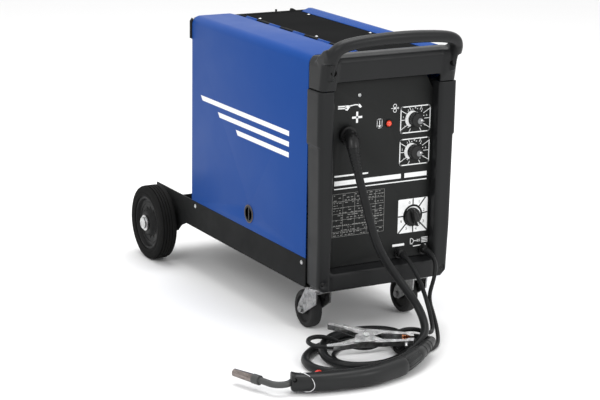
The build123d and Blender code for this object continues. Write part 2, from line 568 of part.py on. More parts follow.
# ================================================================ torch on the floor
TZ = 19.8
GRIP = [(-322, -561, TZ), (-285, -578, TZ), (-235, -590, TZ), (-177, -594, TZ), (-120, -582, TZ + 0.6), (-98, -575, 21.0),
        (-41, -547, 27.5), (8, -510, 31)]
with BuildPart() as torch_handle:
    with BuildLine() as grip:
        Spline(*GRIP)
    for t, r in ((0.0, 15.5), (0.05, 18.3), (0.3, 18.2), (0.6, 16.5), (0.72, 14.5), (1.0, 9.0)):
        with BuildSketch(Plane(grip.line @ t, z_dir=grip.line % t)):
            Circle(r)
    sweep(path=grip.line, multisection=True)
    # collar at the neck end, and the pocket that the trigger moves in
    bx(-274, -236, -585, -560, 13, 26, Mode.SUBTRACT)
save(torch_handle, "torch_handle")

with BuildPart() as torch_trigger:
    prism_z([(-273, -576), (-273, -560), (-264, -553), (-248, -556), (-237, -569), (-237, -578)], 13.6, 25.4)
save(torch_trigger, "torch_trigger")

NECK = [(-321, -561.5, TZ), (-338, -567.5, TZ), (-353, -560, TZ), (-361, -541, TZ), (-367, -527, TZ)]
with BuildPart() as torch_neck:
    with BuildLine() as neck:
        Spline(*NECK)
    with BuildSketch(Plane(neck.line @ 0, z_dir=neck.line % 0)):
        Circle(6)
    sweep(path=neck.line)
    with BuildSketch(Plane((-366, -529.5, TZ), z_dir=(-17, 46, 0))):
        Circle(9)
    extrude(amount=15)
save(torch_neck, "torch_neck")

with BuildPart() as torch_nozzle:
    with BuildSketch(Plane((-371.2, -515.2, TZ), z_dir=(-17, 46, 0))):
        Circle(8.2)
    extrude(amount=46, taper=1.2)
    with BuildSketch(Plane((-371.2, -515.2, TZ), z_dir=(-17, 46, 0)).offset(26)):
        Circle(6.0)
    extrude(amount=24, mode=Mode.SUBTRACT)
    with BuildSketch(Plane((-371.2, -515.2, TZ), z_dir=(-17, 46, 0)).offset(20)):
        Circle(3.0)
    extrude(amount=23)
save(torch_nozzle, "torch_nozzle")

with BuildPart() as torch_hook:
    # bent wire hook clipped round the grip behind the neck
    with BuildLine() as hook:
        FilletPolyline((-300, -557, 38.4), (-287, -562, 40.6), (-283, -586, 39.4), (-286, -599, 26), (-288, -601, 12),
                       radius=4.5)
    with BuildSketch(Plane(hook.line @ 0, z_dir=hook.line % 0)):
        Circle(1.3)
    sweep(path=hook.line)
    cyl_z(-300, -557, 3.2, 33.5, 39.0)
save(torch_hook, "torch_hook")

# ================================================================ earth clamp
RIVET = Vector(-122.7, -488.8, 50.0)
LONG = Vector(0.8545, -0.5195, 0).normalized()
TILT = math.radians(24.7)
SPREAD = Vector(-LONG.Y * math.cos(TILT), LONG.X * math.cos(TILT), math.sin(TILT))
PIVOT = LONG.cross(SPREAD)


def clamp_plane(n):
    return Plane(RIVET + PIVOT * n, x_dir=LONG, z_dir=PIVOT)


LEVER = [(-72, 27), (-71, 31.5), (-40, 28), (-6, 19), (16, 17.5), (50, 14.5), (87, 10.5), (88, 3.2), (82, 2.6), (72, 6.4),
         (30, 7.6), (15, 0.6), (-3, 0.6), (-20, 7.2), (-48, 20.5), (-70, 26)]

with BuildPart() as clamp_jaw_upper:
    with BuildSketch(clamp_plane(-6)):
        with BuildLine():
            Polyline(*LEVER, close=True)
        make_face()
    extrude(amount=12)
    with BuildSketch(clamp_plane(-6)):
        Circle(7)
    extrude(amount=12)
    # hollow channel of the pressed lever
    with BuildSketch(clamp_plane(-4.6)):
        with BuildLine():
            Polyline((-66, 28.2), (-40, 25.2), (-10, 17.0), (16, 15.6), (50, 12.6), (80, 9.6), (80, 2), (30, 2), (14, -9),
                     (-22, -9), (-66, 18), close=True)
        make_face()
    extrude(amount=9.2, mode=Mode.SUBTRACT)
    with BuildSketch(clamp_plane(-7)):
        Circle(3 + RUN)
    extrude(amount=14, mode=Mode.SUBTRACT)
save(clamp_jaw_upper, "clamp_jaw_upper")

with BuildPart() as clamp_jaw_lower:
    with BuildSketch(clamp_plane(-6)):
        with BuildLine():
            Polyline(*[(a, -b) for a, b in LEVER], close=True)
        make_face()
    extrude(amount=12)
    with BuildSketch(clamp_plane(-7)):       # room for the other lever's eye
        Circle(7.8)
    extrude(amount=14, mode=Mode.SUBTRACT)
    for n in (-8.0, 6.4):                    # outer cheeks round the rivet
        with BuildSketch(clamp_plane(n)):
            with BuildLine():
                Polyline((-22, -21), (-19.5, -1), (-9, 6.5), (0, 8.5), (9, 6.5), (15, -1), (16, -16.5), close=True)
            make_face()
        extrude(amount=1.6)
    for n in (-6.6, 5.8):                    # webs that join the cheeks to the lever
        with BuildSketch(clamp_plane(n)):
            with BuildLine():
                Polyline((-15, -19.5), (-9, -9.5), (9, -9.5), (14, -17.5), close=True)
            make_face()
        extrude(amount=0.8)
    with BuildSketch(clamp_plane(-4.6)):
        with BuildLine():
            Polyline((-66, -28.2), (-40, -25.2), (-10, -17.0), (16, -15.6), (50, -12.6), (80, -9.6), (80, -2), (30, -2),
                     (14, 9), (-22, 9), (-66, -18), close=True)
        make_face()
    extrude(amount=9.2, mode=Mode.SUBTRACT)
    with BuildSketch(clamp_plane(-9)):
        Circle(3)
    extrude(amount=18, mode=Mode.SUBTRACT)
save(clamp_jaw_lower, "clamp_jaw_lower")

with BuildPart() as clamp_rivet:
    with BuildSketch(clamp_plane(-8)):
        Circle(3)
    extrude(amount=16)
    with BuildSketch(clamp_plane(-9.8)):
        Circle(5.4)
    extrude(amount=1.8)
    with BuildSketch(clamp_plane(8)):
        Circle(5.4)
    extrude(amount=1.8)
save(clamp_rivet, "clamp_rivet")

# ================================================================ leads
FLOOR = 0.3


def cord(points, dia, name):
    """Plain tube along a route; each corner's arc comes from its shorter run and its turn."""
    radii = []
    for a, b, c in zip(points, points[1:], points[2:]):
        u = Vector(*b) - Vector(*a)
        v = Vector(*c) - Vector(*b)
        turn = math.acos(max(-1.0, min(1.0, u.normalized().dot(v.normalized()))))
        radii.append(0.45 * min(u.length, v.length) / math.tan(turn / 2))
    print(name, "smallest arc radius", round(min(radii), 1), "=", round(min(radii) / dia, 1), "diameters")
    with BuildPart() as tube:
        with BuildLine() as route:
            FilletPolyline(*points, radius=radii)
        path = route.wires()[0]
        with BuildSketch(Plane(path @ 0, z_dir=path % 0)):
            Circle(dia / 2)
        sweep(path=path)
    want = math.pi * dia * dia / 4 * path.length
    print(name, "length", round(path.length), "volume ratio", round(tube.part.volume / want, 3))
    return tube


TORCH_ROUTE = [(-84, -362, 378), (-83, -374, 345), (-77, -383, 308), (-67, -389, 266), (-56, -393, 222), (-41, -397, 182),
               (-20, -403, 143), (0, -418, 106), (13, -438, 76), (13, -461, 52), (0, -482, 39)]
EARTH_ROUTE = [(43, -344, 150.6), (44, -361, 148), (48, -374, 134), (55, -382, 116), (62, -388, 97), (67, -395, 76),
               (68, -406, 56), (65, -421, 38), (57, -439, 26), (44, -452, 24), (28, -457, 29), (12, -453, 36),
               (-10, -446, 37.5), (-33, -441, 30), (-56, -440, 16), (-80, -438, 8), (-106, -432, 10), (-134, -424, 20),
               (-160, -417, 32), (-186, -416, 40), (-210, -428, 41), (-221, -450, 41), (-211, -472, 40), (-187, -479.4, 38.3)]
MAINS_ROUTE = [(99, -344, 151.7), (99, -364, 149), (97, -379, 136), (90, -385, 117), (82, -387, 99), (78, -389, 80),
               (78, -395, 61), (78, -408, 43), (73, -428, 25), (63, -450, 11), (49, -469, 4.6), (30, -483, 4.2),
               (9, -491, 4.2), (-14, -498, 4.2), (-44, -505, 4.2), (-80, -509, 4.2), (-116, -508, 4.2), (-146, -497, 4.2),
               (-166, -477, 4.2), (-168, -452, 4.2), (-156, -426, 4.2), (-132, -405, 4.2), (-104, -396, 4.2),
               (-74, -398, 4.2), (-50, -410, 6), (-36, -428, 11), (-31, -448, 16.5)]

save(cord(TORCH_ROUTE, TORCH_D, "torch_cable"), "torch_cable")
save(cord(EARTH_ROUTE, EARTH_D, "earth_cable"), "earth_cable")
save(cord(MAINS_ROUTE, MAINS_D, "mains_cable"), "mains_cable")

with BuildPart() as torch_cable_coil:
    # outer shape of the two loose turns that the torch lead lies in
    with BuildSketch(Plane.XY.offset(FLOOR)):
        with BuildLine():
            Spline((28, -470), (14, -422), (-30, -384), (-98, -367), (-166, -382), (-218, -426), (-244, -488),
                   (-226, -534), (-170, -552), (-104, -553), (-40, -545), (12, -514), periodic=True)
        make_face()
        with BuildLine():
            Spline((-17, -462), (-28, -424), (-60, -396), (-100, -387.5), (-146, -398), (-174, -424), (-182, -466),
                   (-166, -500), (-128, -515.5), (-80, -515.5), (-38, -506), (-21, -490), periodic=True)
        make_face(mode=Mode.SUBTRACT)
    extrude(amount=29.7)
save(torch_cable_coil, "torch_cable_coil")

with BuildPart() as mains_plug:
    # round moulded plug, lying on the floor inside the turns
    with BuildSketch(Plane((-31, -448, 17.5), z_dir=(-0.22, -0.975, 0))):
        Circle(7)
    extrude(amount=8)
    with BuildSketch(Plane((-31, -448, 17.5), z_dir=(-0.22, -0.975, 0)).offset(8)):
        Circle(16.5)
    extrude(amount=20)
    with BuildSketch(Plane((-31, -448, 17.5), z_dir=(-0.22, -0.975, 0)).offset(28)):
        with Locations((-9.5, 0), (9.5, 0)):
            Circle(2.4)
    extrude(amount=17)
save(mains_plug, "mains_plug")
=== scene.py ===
import bpy, bmesh, json, math, random
from mathutils import Vector, Matrix, noise


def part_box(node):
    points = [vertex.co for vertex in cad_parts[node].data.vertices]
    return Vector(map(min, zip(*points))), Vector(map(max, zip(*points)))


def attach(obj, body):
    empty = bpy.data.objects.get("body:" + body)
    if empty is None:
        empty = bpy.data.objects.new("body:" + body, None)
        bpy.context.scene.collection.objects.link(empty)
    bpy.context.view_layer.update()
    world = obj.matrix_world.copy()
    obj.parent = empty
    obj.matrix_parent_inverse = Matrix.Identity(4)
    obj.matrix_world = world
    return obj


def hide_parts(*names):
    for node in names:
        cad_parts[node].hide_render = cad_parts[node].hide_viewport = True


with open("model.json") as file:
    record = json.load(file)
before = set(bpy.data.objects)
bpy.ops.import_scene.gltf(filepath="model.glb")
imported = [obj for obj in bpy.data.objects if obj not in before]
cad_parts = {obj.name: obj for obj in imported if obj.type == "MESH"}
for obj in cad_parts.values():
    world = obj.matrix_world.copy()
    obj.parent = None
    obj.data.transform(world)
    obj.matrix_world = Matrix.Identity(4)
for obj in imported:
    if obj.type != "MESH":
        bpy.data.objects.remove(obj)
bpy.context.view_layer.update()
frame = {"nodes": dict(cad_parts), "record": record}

random.seed(7)
NODES = frame["nodes"]
MM = 0.001


def mm(p):
    return Vector(p) * MM


# ------------------------------------------------------------------ camera
def camera_axes(yaw, pitch, roll):
    a, e = math.radians(yaw), math.radians(pitch)
    back = Vector((math.sin(a) * math.cos(e), -math.cos(a) * math.cos(e), math.sin(e)))
    fwd = -back
    right = fwd.cross(Vector((0, 0, 1))).normalized()
    up = right.cross(fwd)
    c, s = math.cos(math.radians(roll)), math.sin(math.radians(roll))
    return c * right + s * up, -s * right + c * up, fwd


cam_data = bpy.data.cameras.new("camera")
cam = bpy.data.objects.new("camera", cam_data)
bpy.context.scene.collection.objects.link(cam)
cam_data.lens = 1909.8 * 36 / 600
cam_data.sensor_width = 36
cam_data.clip_end = 50
R, U, F = camera_axes(-29.45, 14.64, 0.99)
M = Matrix((R, U, -F)).transposed().to_4x4()
M.translation = Vector((-1.8773, -3.3393, 1.1844))
cam.matrix_world = M
bpy.context.scene.camera = cam


# ------------------------------------------------------------------ materials
def material(name, color, color2=None, rough=0.5, rough_span=0.08, metallic=0.0, tint_scale=9, grain=700,
             bump=0.12, dist=0.0002, wear=0.0, wear_color=(0.3, 0.3, 0.3), coat=0.0, spec=0.5, voronoi=0, dust=0.0,
             stretch=(1, 1, 1)):
    m = bpy.data.materials.new(name)
    m.use_nodes = True
    nt = m.node_tree
    nt.nodes.clear()
    N, L = nt.nodes.new, nt.links.new
    out = N("ShaderNodeOutputMaterial")
    b = N("ShaderNodeBsdfPrincipled")
    L(b.outputs["BSDF"], out.inputs["Surface"])
    b.inputs["Metallic"].default_value = metallic
    b.inputs["Coat Weight"].default_value = coat
    b.inputs["Coat Roughness"].default_value = 0.25
    b.inputs["Specular IOR Level"].default_value = spec
    tc = N("ShaderNodeTexCoord")
    mp = N("ShaderNodeMapping")
    mp.inputs["Scale"].default_value = stretch
    L(tc.outputs["Object"], mp.inputs["Vector"])
    color2 = color2 or tuple(c * 0.82 for c in color)
    n1 = N("ShaderNodeTexNoise")
    n1.inputs["Scale"].default_value = tint_scale
    n1.inputs["Detail"].default_value = 5
    n1.inputs["Roughness"].default_value = 0.6
    L(mp.outputs["Vector"], n1.inputs["Vector"])
    mix = N("ShaderNodeMix")
    mix.data_type = "RGBA"
    mix.inputs["A"].default_value = (*color, 1)
    mix.inputs["B"].default_value = (*color2, 1)
    ramp = N("ShaderNodeMapRange")
    ramp.inputs["From Min"].default_value = 0.35
    ramp.inputs["From Max"].default_value = 0.68
    L(n1.outputs["Fac"], ramp.inputs["Value"])
    L(ramp.outputs["Result"], mix.inputs["Factor"])
    col = mix.outputs["Result"]
    if voronoi:
        v = N("ShaderNodeTexVoronoi")
        v.inputs["Scale"].default_value = voronoi
        L(mp.outputs["Vector"], v.inputs["Vector"])
        sp = N("ShaderNodeMix")
        sp.data_type = "RGBA"
        sp.blend_type = "MULTIPLY"
        sp.inputs["Factor"].default_value = 0.35
        L(col, sp.inputs["A"])
        L(v.outputs["Color"], sp.inputs["B"])
        hs = N("ShaderNodeHueSaturation")
        hs.inputs["Saturation"].default_value = 0.12
        hs.inputs["Value"].default_value = 1.25
        L(sp.outputs["Result"], hs.inputs["Color"])
        col = hs.outputs["Color"]
    if wear:
        g = N("ShaderNodeNewGeometry")
        bv = N("ShaderNodeBevel")
        bv.samples = 4
        bv.inputs["Radius"].default_value = 0.0014
        dt = N("ShaderNodeVectorMath")
        dt.operation = "DOT_PRODUCT"
        L(g.outputs["Normal"], dt.inputs[0])
        L(bv.outputs["Normal"], dt.inputs[1])
        nw = N("ShaderNodeTexNoise")
        nw.inputs["Scale"].default_value = 150
        nw.inputs["Detail"].default_value = 4
        L(tc.outputs["Object"], nw.inputs["Vector"])
        ed = N("ShaderNodeMapRange")
        ed.inputs["From Min"].default_value = 0.995
        ed.inputs["From Max"].default_value = 0.90
        L(dt.outputs["Value"], ed.inputs["Value"])
        nz = N("ShaderNodeMapRange")
        nz.inputs["From Min"].default_value = 0.42
        nz.inputs["From Max"].default_value = 0.66
        nz.inputs["To Max"].default_value = wear
        L(nw.outputs["Fac"], nz.inputs["Value"])
        wr = N("ShaderNodeMath")
        wr.operation = "MULTIPLY"
        L(ed.outputs["Result"], wr.inputs[0])
        L(nz.outputs["Result"], wr.inputs[1])
        wm = N("ShaderNodeMix")
        wm.data_type = "RGBA"
        wm.inputs["B"].default_value = (*wear_color, 1)
        L(wr.outputs[0], wm.inputs["Factor"])
        L(col, wm.inputs["A"])
        col = wm.outputs["Result"]
    if dust:
        g2 = N("ShaderNodeNewGeometry")
        sx = N("ShaderNodeSeparateXYZ")
        L(g2.outputs["Normal"], sx.inputs["Vector"])
        nd = N("ShaderNodeTexNoise")
        nd.inputs["Scale"].default_value = 26
        nd.inputs["Detail"].default_value = 6
        L(tc.outputs["Object"], nd.inputs["Vector"])
        mu = N("ShaderNodeMath")
        mu.operation = "MULTIPLY"
        mu.use_clamp = True
        L(sx.outputs["Z"], mu.inputs[0])
        L(nd.outputs["Fac"], mu.inputs[1])
        dr = N("ShaderNodeMapRange")
        dr.inputs["From Min"].default_value = 0.2
        dr.inputs["From Max"].default_value = 0.8
        dr.inputs["To Max"].default_value = dust
        L(mu.outputs[0], dr.inputs["Value"])
        dm = N("ShaderNodeMix")
        dm.data_type = "RGBA"
        dm.inputs["B"].default_value = (0.30, 0.29, 0.28, 1)
        L(dr.outputs["Result"], dm.inputs["Factor"])
        L(col, dm.inputs["A"])
        col = dm.outputs["Result"]
    L(col, b.inputs["Base Color"])
    n2 = N("ShaderNodeTexNoise")
    n2.inputs["Scale"].default_value = grain
    n2.inputs["Detail"].default_value = 3
    L(mp.outputs["Vector"], n2.inputs["Vector"])
    bp = N("ShaderNodeBump")
    bp.inputs["Strength"].default_value = bump
    bp.inputs["Distance"].default_value = dist
    L(n2.outputs["Fac"], bp.inputs["Height"])
    L(bp.outputs["Normal"], b.inputs["Normal"])
    n3 = N("ShaderNodeTexNoise")
    n3.inputs["Scale"].default_value = tint_scale * 4
    n3.inputs["Detail"].default_value = 4
    L(mp.outputs["Vector"], n3.inputs["Vector"])
    rr = N("ShaderNodeMapRange")
    rr.inputs["From Min"].default_value = 0.3
    rr.inputs["From Max"].default_value = 0.7
    rr.inputs["To Min"].default_value = max(0.03, rough - rough_span)
    rr.inputs["To Max"].default_value = min(1, rough + rough_span)
    L(n3.outputs["Fac"], rr.inputs["Value"])
    L(rr.outputs["Result"], b.inputs["Roughness"])
    return m


MATS = {
    "blue_paint": material("blue_powder_coat", (0.0115, 0.0600, 0.258), (0.0105, 0.0565, 0.248), rough=0.42, rough_span=0.03,
                           tint_scale=4, grain=420, bump=0.05, dist=0.0002, wear=0.25, wear_color=(0.05, 0.12, 0.36),
                           spec=0.06, dust=0.01),
    "black_paint": material("black_powder_coat", (0.0125, 0.0130, 0.0132), (0.0150, 0.0155, 0.0158), rough=0.62, grain=900,
                            bump=0.18, dist=0.0002, wear=0.5, wear_color=(0.06, 0.06, 0.06), spec=0.07, dust=0.01),
    "dark_plastic": material("moulded_plastic", (0.0092, 0.0097, 0.0102), (0.0112, 0.0117, 0.0122), rough=0.40, rough_span=0.05,
                             tint_scale=7, grain=1500, bump=0.22, dist=0.00013, wear=0.3, wear_color=(0.035, 0.035, 0.037),
                             spec=0.20, dust=0.005),
    "panel_plate": material("panel_film", (0.0105, 0.0112, 0.0110), (0.0125, 0.0132, 0.0130), rough=0.48, rough_span=0.05,
                            grain=2000, bump=0.10, dist=0.0001, spec=0.16),
    "zinc": material("zinc_plate", (0.50, 0.51, 0.52), (0.34, 0.35, 0.37), rough=0.34, rough_span=0.12, metallic=1.0,
                     tint_scale=55, grain=300, bump=0.10, dist=0.0002, voronoi=170),
    "tyre_rubber": material("tyre_rubber", (0.0090, 0.0092, 0.0092), (0.0130, 0.0129, 0.0125), rough=0.82, grain=500, bump=0.30,
                            dist=0.0004, dust=0.02, wear=0.3, wear_color=(0.022, 0.0215, 0.021), spec=0.05),
    "rim_plastic": material("rim_plastic", (0.0085, 0.0087, 0.0088), (0.0115, 0.0117, 0.0118), rough=0.45, grain=1200, bump=0.22,
                            spec=0.12, dust=0.01),
    "caster_rubber": material("caster_rubber", (0.016, 0.016, 0.0165), (0.024, 0.0238, 0.0235), rough=0.62, grain=700,
                              bump=0.3, dist=0.0003, spec=0.16, dust=0.02),
    "cable_rubber": material("cable_rubber", (0.0092, 0.0096, 0.0100), (0.0120, 0.0124, 0.0128), rough=0.34, rough_span=0.07,
                             tint_scale=30, grain=900, bump=0.14, dist=0.0002, spec=0.15, dust=0.004),
    "torch_plastic": material("torch_grip_plastic", (0.0088, 0.0095, 0.0098), (0.0112, 0.0119, 0.0123), rough=0.38, grain=1400,
                              bump=0.25, dist=0.0002, spec=0.28, dust=0.01),
    "trigger_red": material("red_button", (0.62, 0.030, 0.016), (0.52, 0.025, 0.014), rough=0.35, grain=900, bump=0.08),
    "lens_red": material("amber_red_lens", (0.85, 0.065, 0.020), (0.70, 0.04, 0.012), rough=0.16, tint_scale=300, grain=600,
                         bump=0.05, coat=0.6),
    "knob_plastic": material("knob_plastic", (0.0055, 0.0056, 0.0058), (0.0085, 0.0086, 0.0088), rough=0.32, grain=1300,
                             bump=0.15, spec=0.28),
    "copper": material("copper_winding", (0.55, 0.22, 0.10), (0.40, 0.14, 0.06), rough=0.38, metallic=1.0, tint_scale=60,
                       grain=400, bump=0.2, stretch=(1, 1, 6)),
    "steel_core": material("laminated_steel", (0.16, 0.16, 0.17), (0.10, 0.10, 0.105), rough=0.5, metallic=0.7,
                           tint_scale=30, grain=500, bump=0.3, stretch=(1, 8, 1)),
    "aluminium": material("aluminium", (0.62, 0.63, 0.64), (0.52, 0.53, 0.55), rough=0.36, metallic=1.0, tint_scale=25,
                          grain=300, bump=0.1, stretch=(1, 6, 1)),
    "chrome_nozzle": material("nickel_nozzle", (0.30, 0.262, 0.245), (0.15, 0.128, 0.120), rough=0.20, rough_span=0.1,
                              metallic=1.0, tint_scale=60, grain=500, bump=0.08, stretch=(2.5, 0.5, 2.5)),
    "brass": material("turned_brass", (0.60, 0.42, 0.16), (0.5, 0.33, 0.12), rough=0.3, metallic=1.0, grain=500, bump=0.08),
    "spool_plastic": material("spool_plastic", (0.02, 0.02, 0.021), (0.03, 0.03, 0.03), rough=0.35, grain=800, bump=0.1),
    "white_print": material("white_print", (0.86, 0.87, 0.87), (0.78, 0.79, 0.79), rough=0.5, tint_scale=120, grain=1500,
                            bump=0.1),
    "grey_print": material("grey_print", (0.30, 0.30, 0.29), (0.20, 0.20, 0.195), rough=0.5, tint_scale=200, grain=1500,
                           bump=0.1),
    "copper_teeth": material("copper_teeth", (0.62, 0.25, 0.12), (0.42, 0.14, 0.06), rough=0.35, metallic=1.0,
                             tint_scale=150, grain=600, bump=0.15),
    "wire_copper": material("copper_coated_wire", (0.66, 0.34, 0.2), (0.5, 0.22, 0.12), rough=0.3, metallic=1.0,
                            tint_scale=200, grain=500, bump=0.4, stretch=(14, 1, 1)),
    "neck_sleeve": material("neck_sleeve", (0.050, 0.051, 0.050), (0.065, 0.066, 0.065), rough=0.4, grain=900, bump=0.15, spec=0.3),
    "grey_cap": material("grey_cap", (0.20, 0.205, 0.21), (0.13, 0.135, 0.14), rough=0.4, tint_scale=200, grain=900, bump=0.12),
    "dark_zinc": material("darkened_zinc", (0.36, 0.365, 0.38), (0.15, 0.155, 0.17), rough=0.38, rough_span=0.12, metallic=1.0,
                          tint_scale=90, grain=260, bump=0.30, dist=0.0003, voronoi=240),
    "cover_paint": material("cover_powder_coat", (0.0130, 0.0132, 0.0135), (0.0150, 0.0152, 0.0155), rough=0.85, grain=900,
                            bump=0.15, dist=0.0002, spec=0.0),
    # near-black colour for screw seats and screw holes: painted shade of the holes
    "recess_painted_shade": material("recess_painted_shade", (0.0025, 0.0025, 0.0026), (0.0035, 0.0035, 0.0036), rough=0.7, grain=900, bump=0.1,
                             spec=0.05),
    "brown_rim": material("latch_rim", (0.10, 0.055, 0.035), (0.07, 0.04, 0.03), rough=0.4, grain=900, bump=0.1),
}

slot_of = {s["node"]: s["material_slot"] for s in frame["record"]["subparts"]}
for name, obj in NODES.items():
    m = MATS[slot_of[name]]
    if name == "hinge_pin":
        m = MATS["black_paint"]
    elif name == "torch_neck":
        m = MATS["neck_sleeve"]
    elif name.startswith(("clamp_jaw", "caster_fork", "caster_plates")):
        m = MATS["dark_zinc"]
    if not obj.material_slots:
        obj.data.materials.append(m)
    for sl in obj.material_slots:
        sl.material = m
    for p in obj.data.polygons:
        p.use_smooth = True


def link(obj):
    bpy.context.scene.collection.objects.link(obj)
    return obj


def new_mesh(name, verts, faces, mat, body, smooth=True):
    me = bpy.data.meshes.new(name)
    me.from_pydata([tuple(v) for v in verts], [], faces)
    me.validate()
    me.materials.append(MATS[mat])
    for p in me.polygons:
        p.use_smooth = smooth
    o = link(bpy.data.objects.new(name, me))
    bm = bmesh.new()
    bm.from_mesh(me)
    bmesh.ops.recalc_face_normals(bm, faces=bm.faces)
    bm.to_mesh(me)
    bm.free()
    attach(o, body)
    return o


def apply_modifiers(o):
    bpy.context.view_layer.update()
    dg = bpy.context.evaluated_depsgraph_get()
    me = bpy.data.meshes.new_from_object(o.evaluated_get(dg))
    o.modifiers.clear()
    o.data = me
    return o


def sharp(o, angle=35):
    """Smooth shading with hard edges kept above the angle."""
    me = o.data
    bm = bmesh.new()
    bm.from_mesh(me)
    lim = math.radians(angle)
    for e in bm.edges:
        e.smooth = not (len(e.link_faces) == 2 and e.calc_face_angle(0) > lim)
    bm.to_mesh(me)
    bm.free()
    return o


def refined(node, body, bevel=0.0008, segments=2, angle=30, mat=None, name=None):
    """The CAD node's shape with its edges rounded as the real sheet or moulding has them."""
    src = NODES[node]
    me = src.data.copy()
    o = link(bpy.data.objects.new(name or node + "_body", me))
    bm = bmesh.new()
    bm.from_mesh(me)
    bmesh.ops.remove_doubles(bm, verts=bm.verts, dist=0.00001)
    bmesh.ops.dissolve_limit(bm, angle_limit=math.radians(1.0), verts=bm.verts, edges=bm.edges)
    bm.to_mesh(me)
    bm.free()
    me.materials.clear()
    me.materials.append(MATS[mat or slot_of[node]])
    b = o.modifiers.new("bevel", "BEVEL")
    b.width = bevel
    b.segments = segments
    b.limit_method = "ANGLE"
    b.angle_limit = math.radians(angle)
    b.harden_normals = False
    b.use_clamp_overlap = True
    apply_modifiers(o)
    for p in o.data.polygons:
        p.use_smooth = True
    sharp(o, 50)
    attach(o, body)
    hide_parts(node)
    return o


def softened(node, body, voxel=0.0018, rounds=10, mat=None, name=None, factor=0.5, keep=None, add=()):
    """A moulded piece: the CAD shape remeshed and relaxed, so that every edge gets a moulding radius."""
    src = NODES[node]
    me = src.data.copy()
    o = link(bpy.data.objects.new(name or node + "_moulding", me))
    bm = bmesh.new()
    bm.from_mesh(me)
    bmesh.ops.remove_doubles(bm, verts=bm.verts, dist=0.00001)
    bm.to_mesh(me)
    bm.free()
    if keep:
        (x0, y0, z0), (x1, y1, z1) = keep
        V = [mm(q) for q in ((x0, y0, z0), (x1, y0, z0), (x1, y1, z0), (x0, y1, z0), (x0, y0, z1), (x1, y0, z1), (x1, y1, z1), (x0, y1, z1))]
        bme = bpy.data.meshes.new("keep")
        bme.from_pydata(V, [], [(3, 2, 1, 0), (4, 5, 6, 7), (0, 1, 5, 4), (1, 2, 6, 5), (2, 3, 7, 6), (3, 0, 4, 7)])
        box = link(bpy.data.objects.new("keep", bme))
        bo = o.modifiers.new("keep", "BOOLEAN")
        bo.operation = "INTERSECT"
        bo.solver = "EXACT"
        bo.object = box
        apply_modifiers(o)
        bpy.data.objects.remove(box)
    if add:
        bm = bmesh.new()
        bm.from_mesh(o.data)
        for verts, faces in add:
            vs = [bm.verts.new(v) for v in verts]
            for f in faces:
                bm.faces.new([vs[i] for i in f])
        bmesh.ops.recalc_face_normals(bm, faces=bm.faces)
        bm.to_mesh(o.data)
        bm.free()
    r = o.modifiers.new("remesh", "REMESH")
    r.mode = "VOXEL"
    r.voxel_size = voxel
    s = o.modifiers.new("smooth", "SMOOTH")
    s.factor = factor
    s.iterations = rounds
    apply_modifiers(o)
    o.data.materials.clear()
    o.data.materials.append(MATS[mat or slot_of[node]])
    for p in o.data.polygons:
        p.use_smooth = True
    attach(o, body)
    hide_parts(node)
    return o


# ------------------------------------------------------------------ leads
TORCH_ROUTE = [(-84, -362, 378), (-83, -374, 345), (-77, -383, 308), (-67, -389, 266), (-56, -393, 222), (-41, -397, 182),
               (-17, -403, 143), (6, -418, 107), (21, -438, 78), (21.6, -461, 55), (11, -484, 40)]
TORCH_COIL = [(-14, -505, 31), (-50, -519, 19), (-88, -526, 9.5), (-132, -525, 8.4), (-168, -510, 8.4), (-189, -480, 9.5),
              (-190, -446, 15), (-172, -413, 22), (-137, -389, 25.8), (-92, -380, 25.8), (-48, -389, 25.8),
              (-18, -413, 25.5), (-6, -444, 21), (-7, -474, 18), (-11, -500, 16.8), (-26, -525, 12), (-52, -541, 8.6),
              (-92, -547, 8.4), (-140, -548, 8.4), (-186, -539, 8.4), (-219, -518, 8.4), (-234, -488, 8.4),
              (-232, -455, 8.4), (-215, -425, 8.4), (-184, -399, 8.4), (-142, -380, 8.4), (-100, -375, 8.4),
              (-58, -380, 8.4), (-22, -398, 9.5), (4, -424, 13), (14, -455, 18.5), (15, -484, 25), (8, -510, 31)]
EARTH_ROUTE = [(43, -344, 150.6), (44, -361, 148), (48, -374, 134), (55, -382, 116), (62, -388, 97), (67, -395, 76),
               (68, -406, 56), (65, -421, 38), (57, -439, 26), (44, -452, 24), (28, -457, 29), (12, -453, 36),
               (-10, -446, 37.5), (-33, -441, 30), (-56, -440, 16), (-80, -438, 8), (-106, -432, 10), (-134, -424, 20),
               (-158, -419, 33), (-182, -416, 40), (-206, -423, 42), (-220, -441, 42), (-220, -459, 41.3),
               (-209.5, -470.5, 40.2), (-197, -475.5, 39.2), (-187, -479.4, 38.3)]
MAINS_ROUTE = [(99, -344, 151.7), (99, -354, 150.6), (98.5, -367.3, 146.3), (97, -380, 136.5), (93, -387.5, 123.5),
               (87.5, -390.5, 107.5), (82, -391, 92), (78.5, -391, 77),
               (78, -395, 61), (78, -408, 43), (73, -428, 25), (63, -450, 11), (49, -469, 4.6), (30, -483, 4.2),
               (9, -491, 4.2), (-14, -498, 4.2), (-44, -505, 4.2), (-80, -509, 4.2), (-116, -508, 4.2), (-146, -497, 4.2),
               (-166, -477, 4.2), (-168, -452, 4.2), (-156, -426, 4.2), (-132, -405, 4.2), (-104, -396, 4.2),
               (-74, -398, 4.2), (-50, -410, 6), (-36, -428, 11), (-31, -448, 16.5)]


def cord_curve(name, pts, dia, mat="cable_rubber"):
    cu = bpy.data.curves.new(name, "CURVE")
    cu.dimensions = "3D"
    cu.bevel_depth = dia / 2
    cu.bevel_resolution = 5
    cu.resolution_u = 10
    cu.use_fill_caps = True
    sp = cu.splines.new("NURBS")
    sp.points.add(len(pts) - 1)
    for p, co in zip(sp.points, pts):
        p.co = (*mm(co), 1)
    sp.order_u = 3
    sp.use_endpoint_u = True
    cu.materials.append(MATS[mat])
    o = link(bpy.data.objects.new(name, cu))
    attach(o, "machine")
    return o


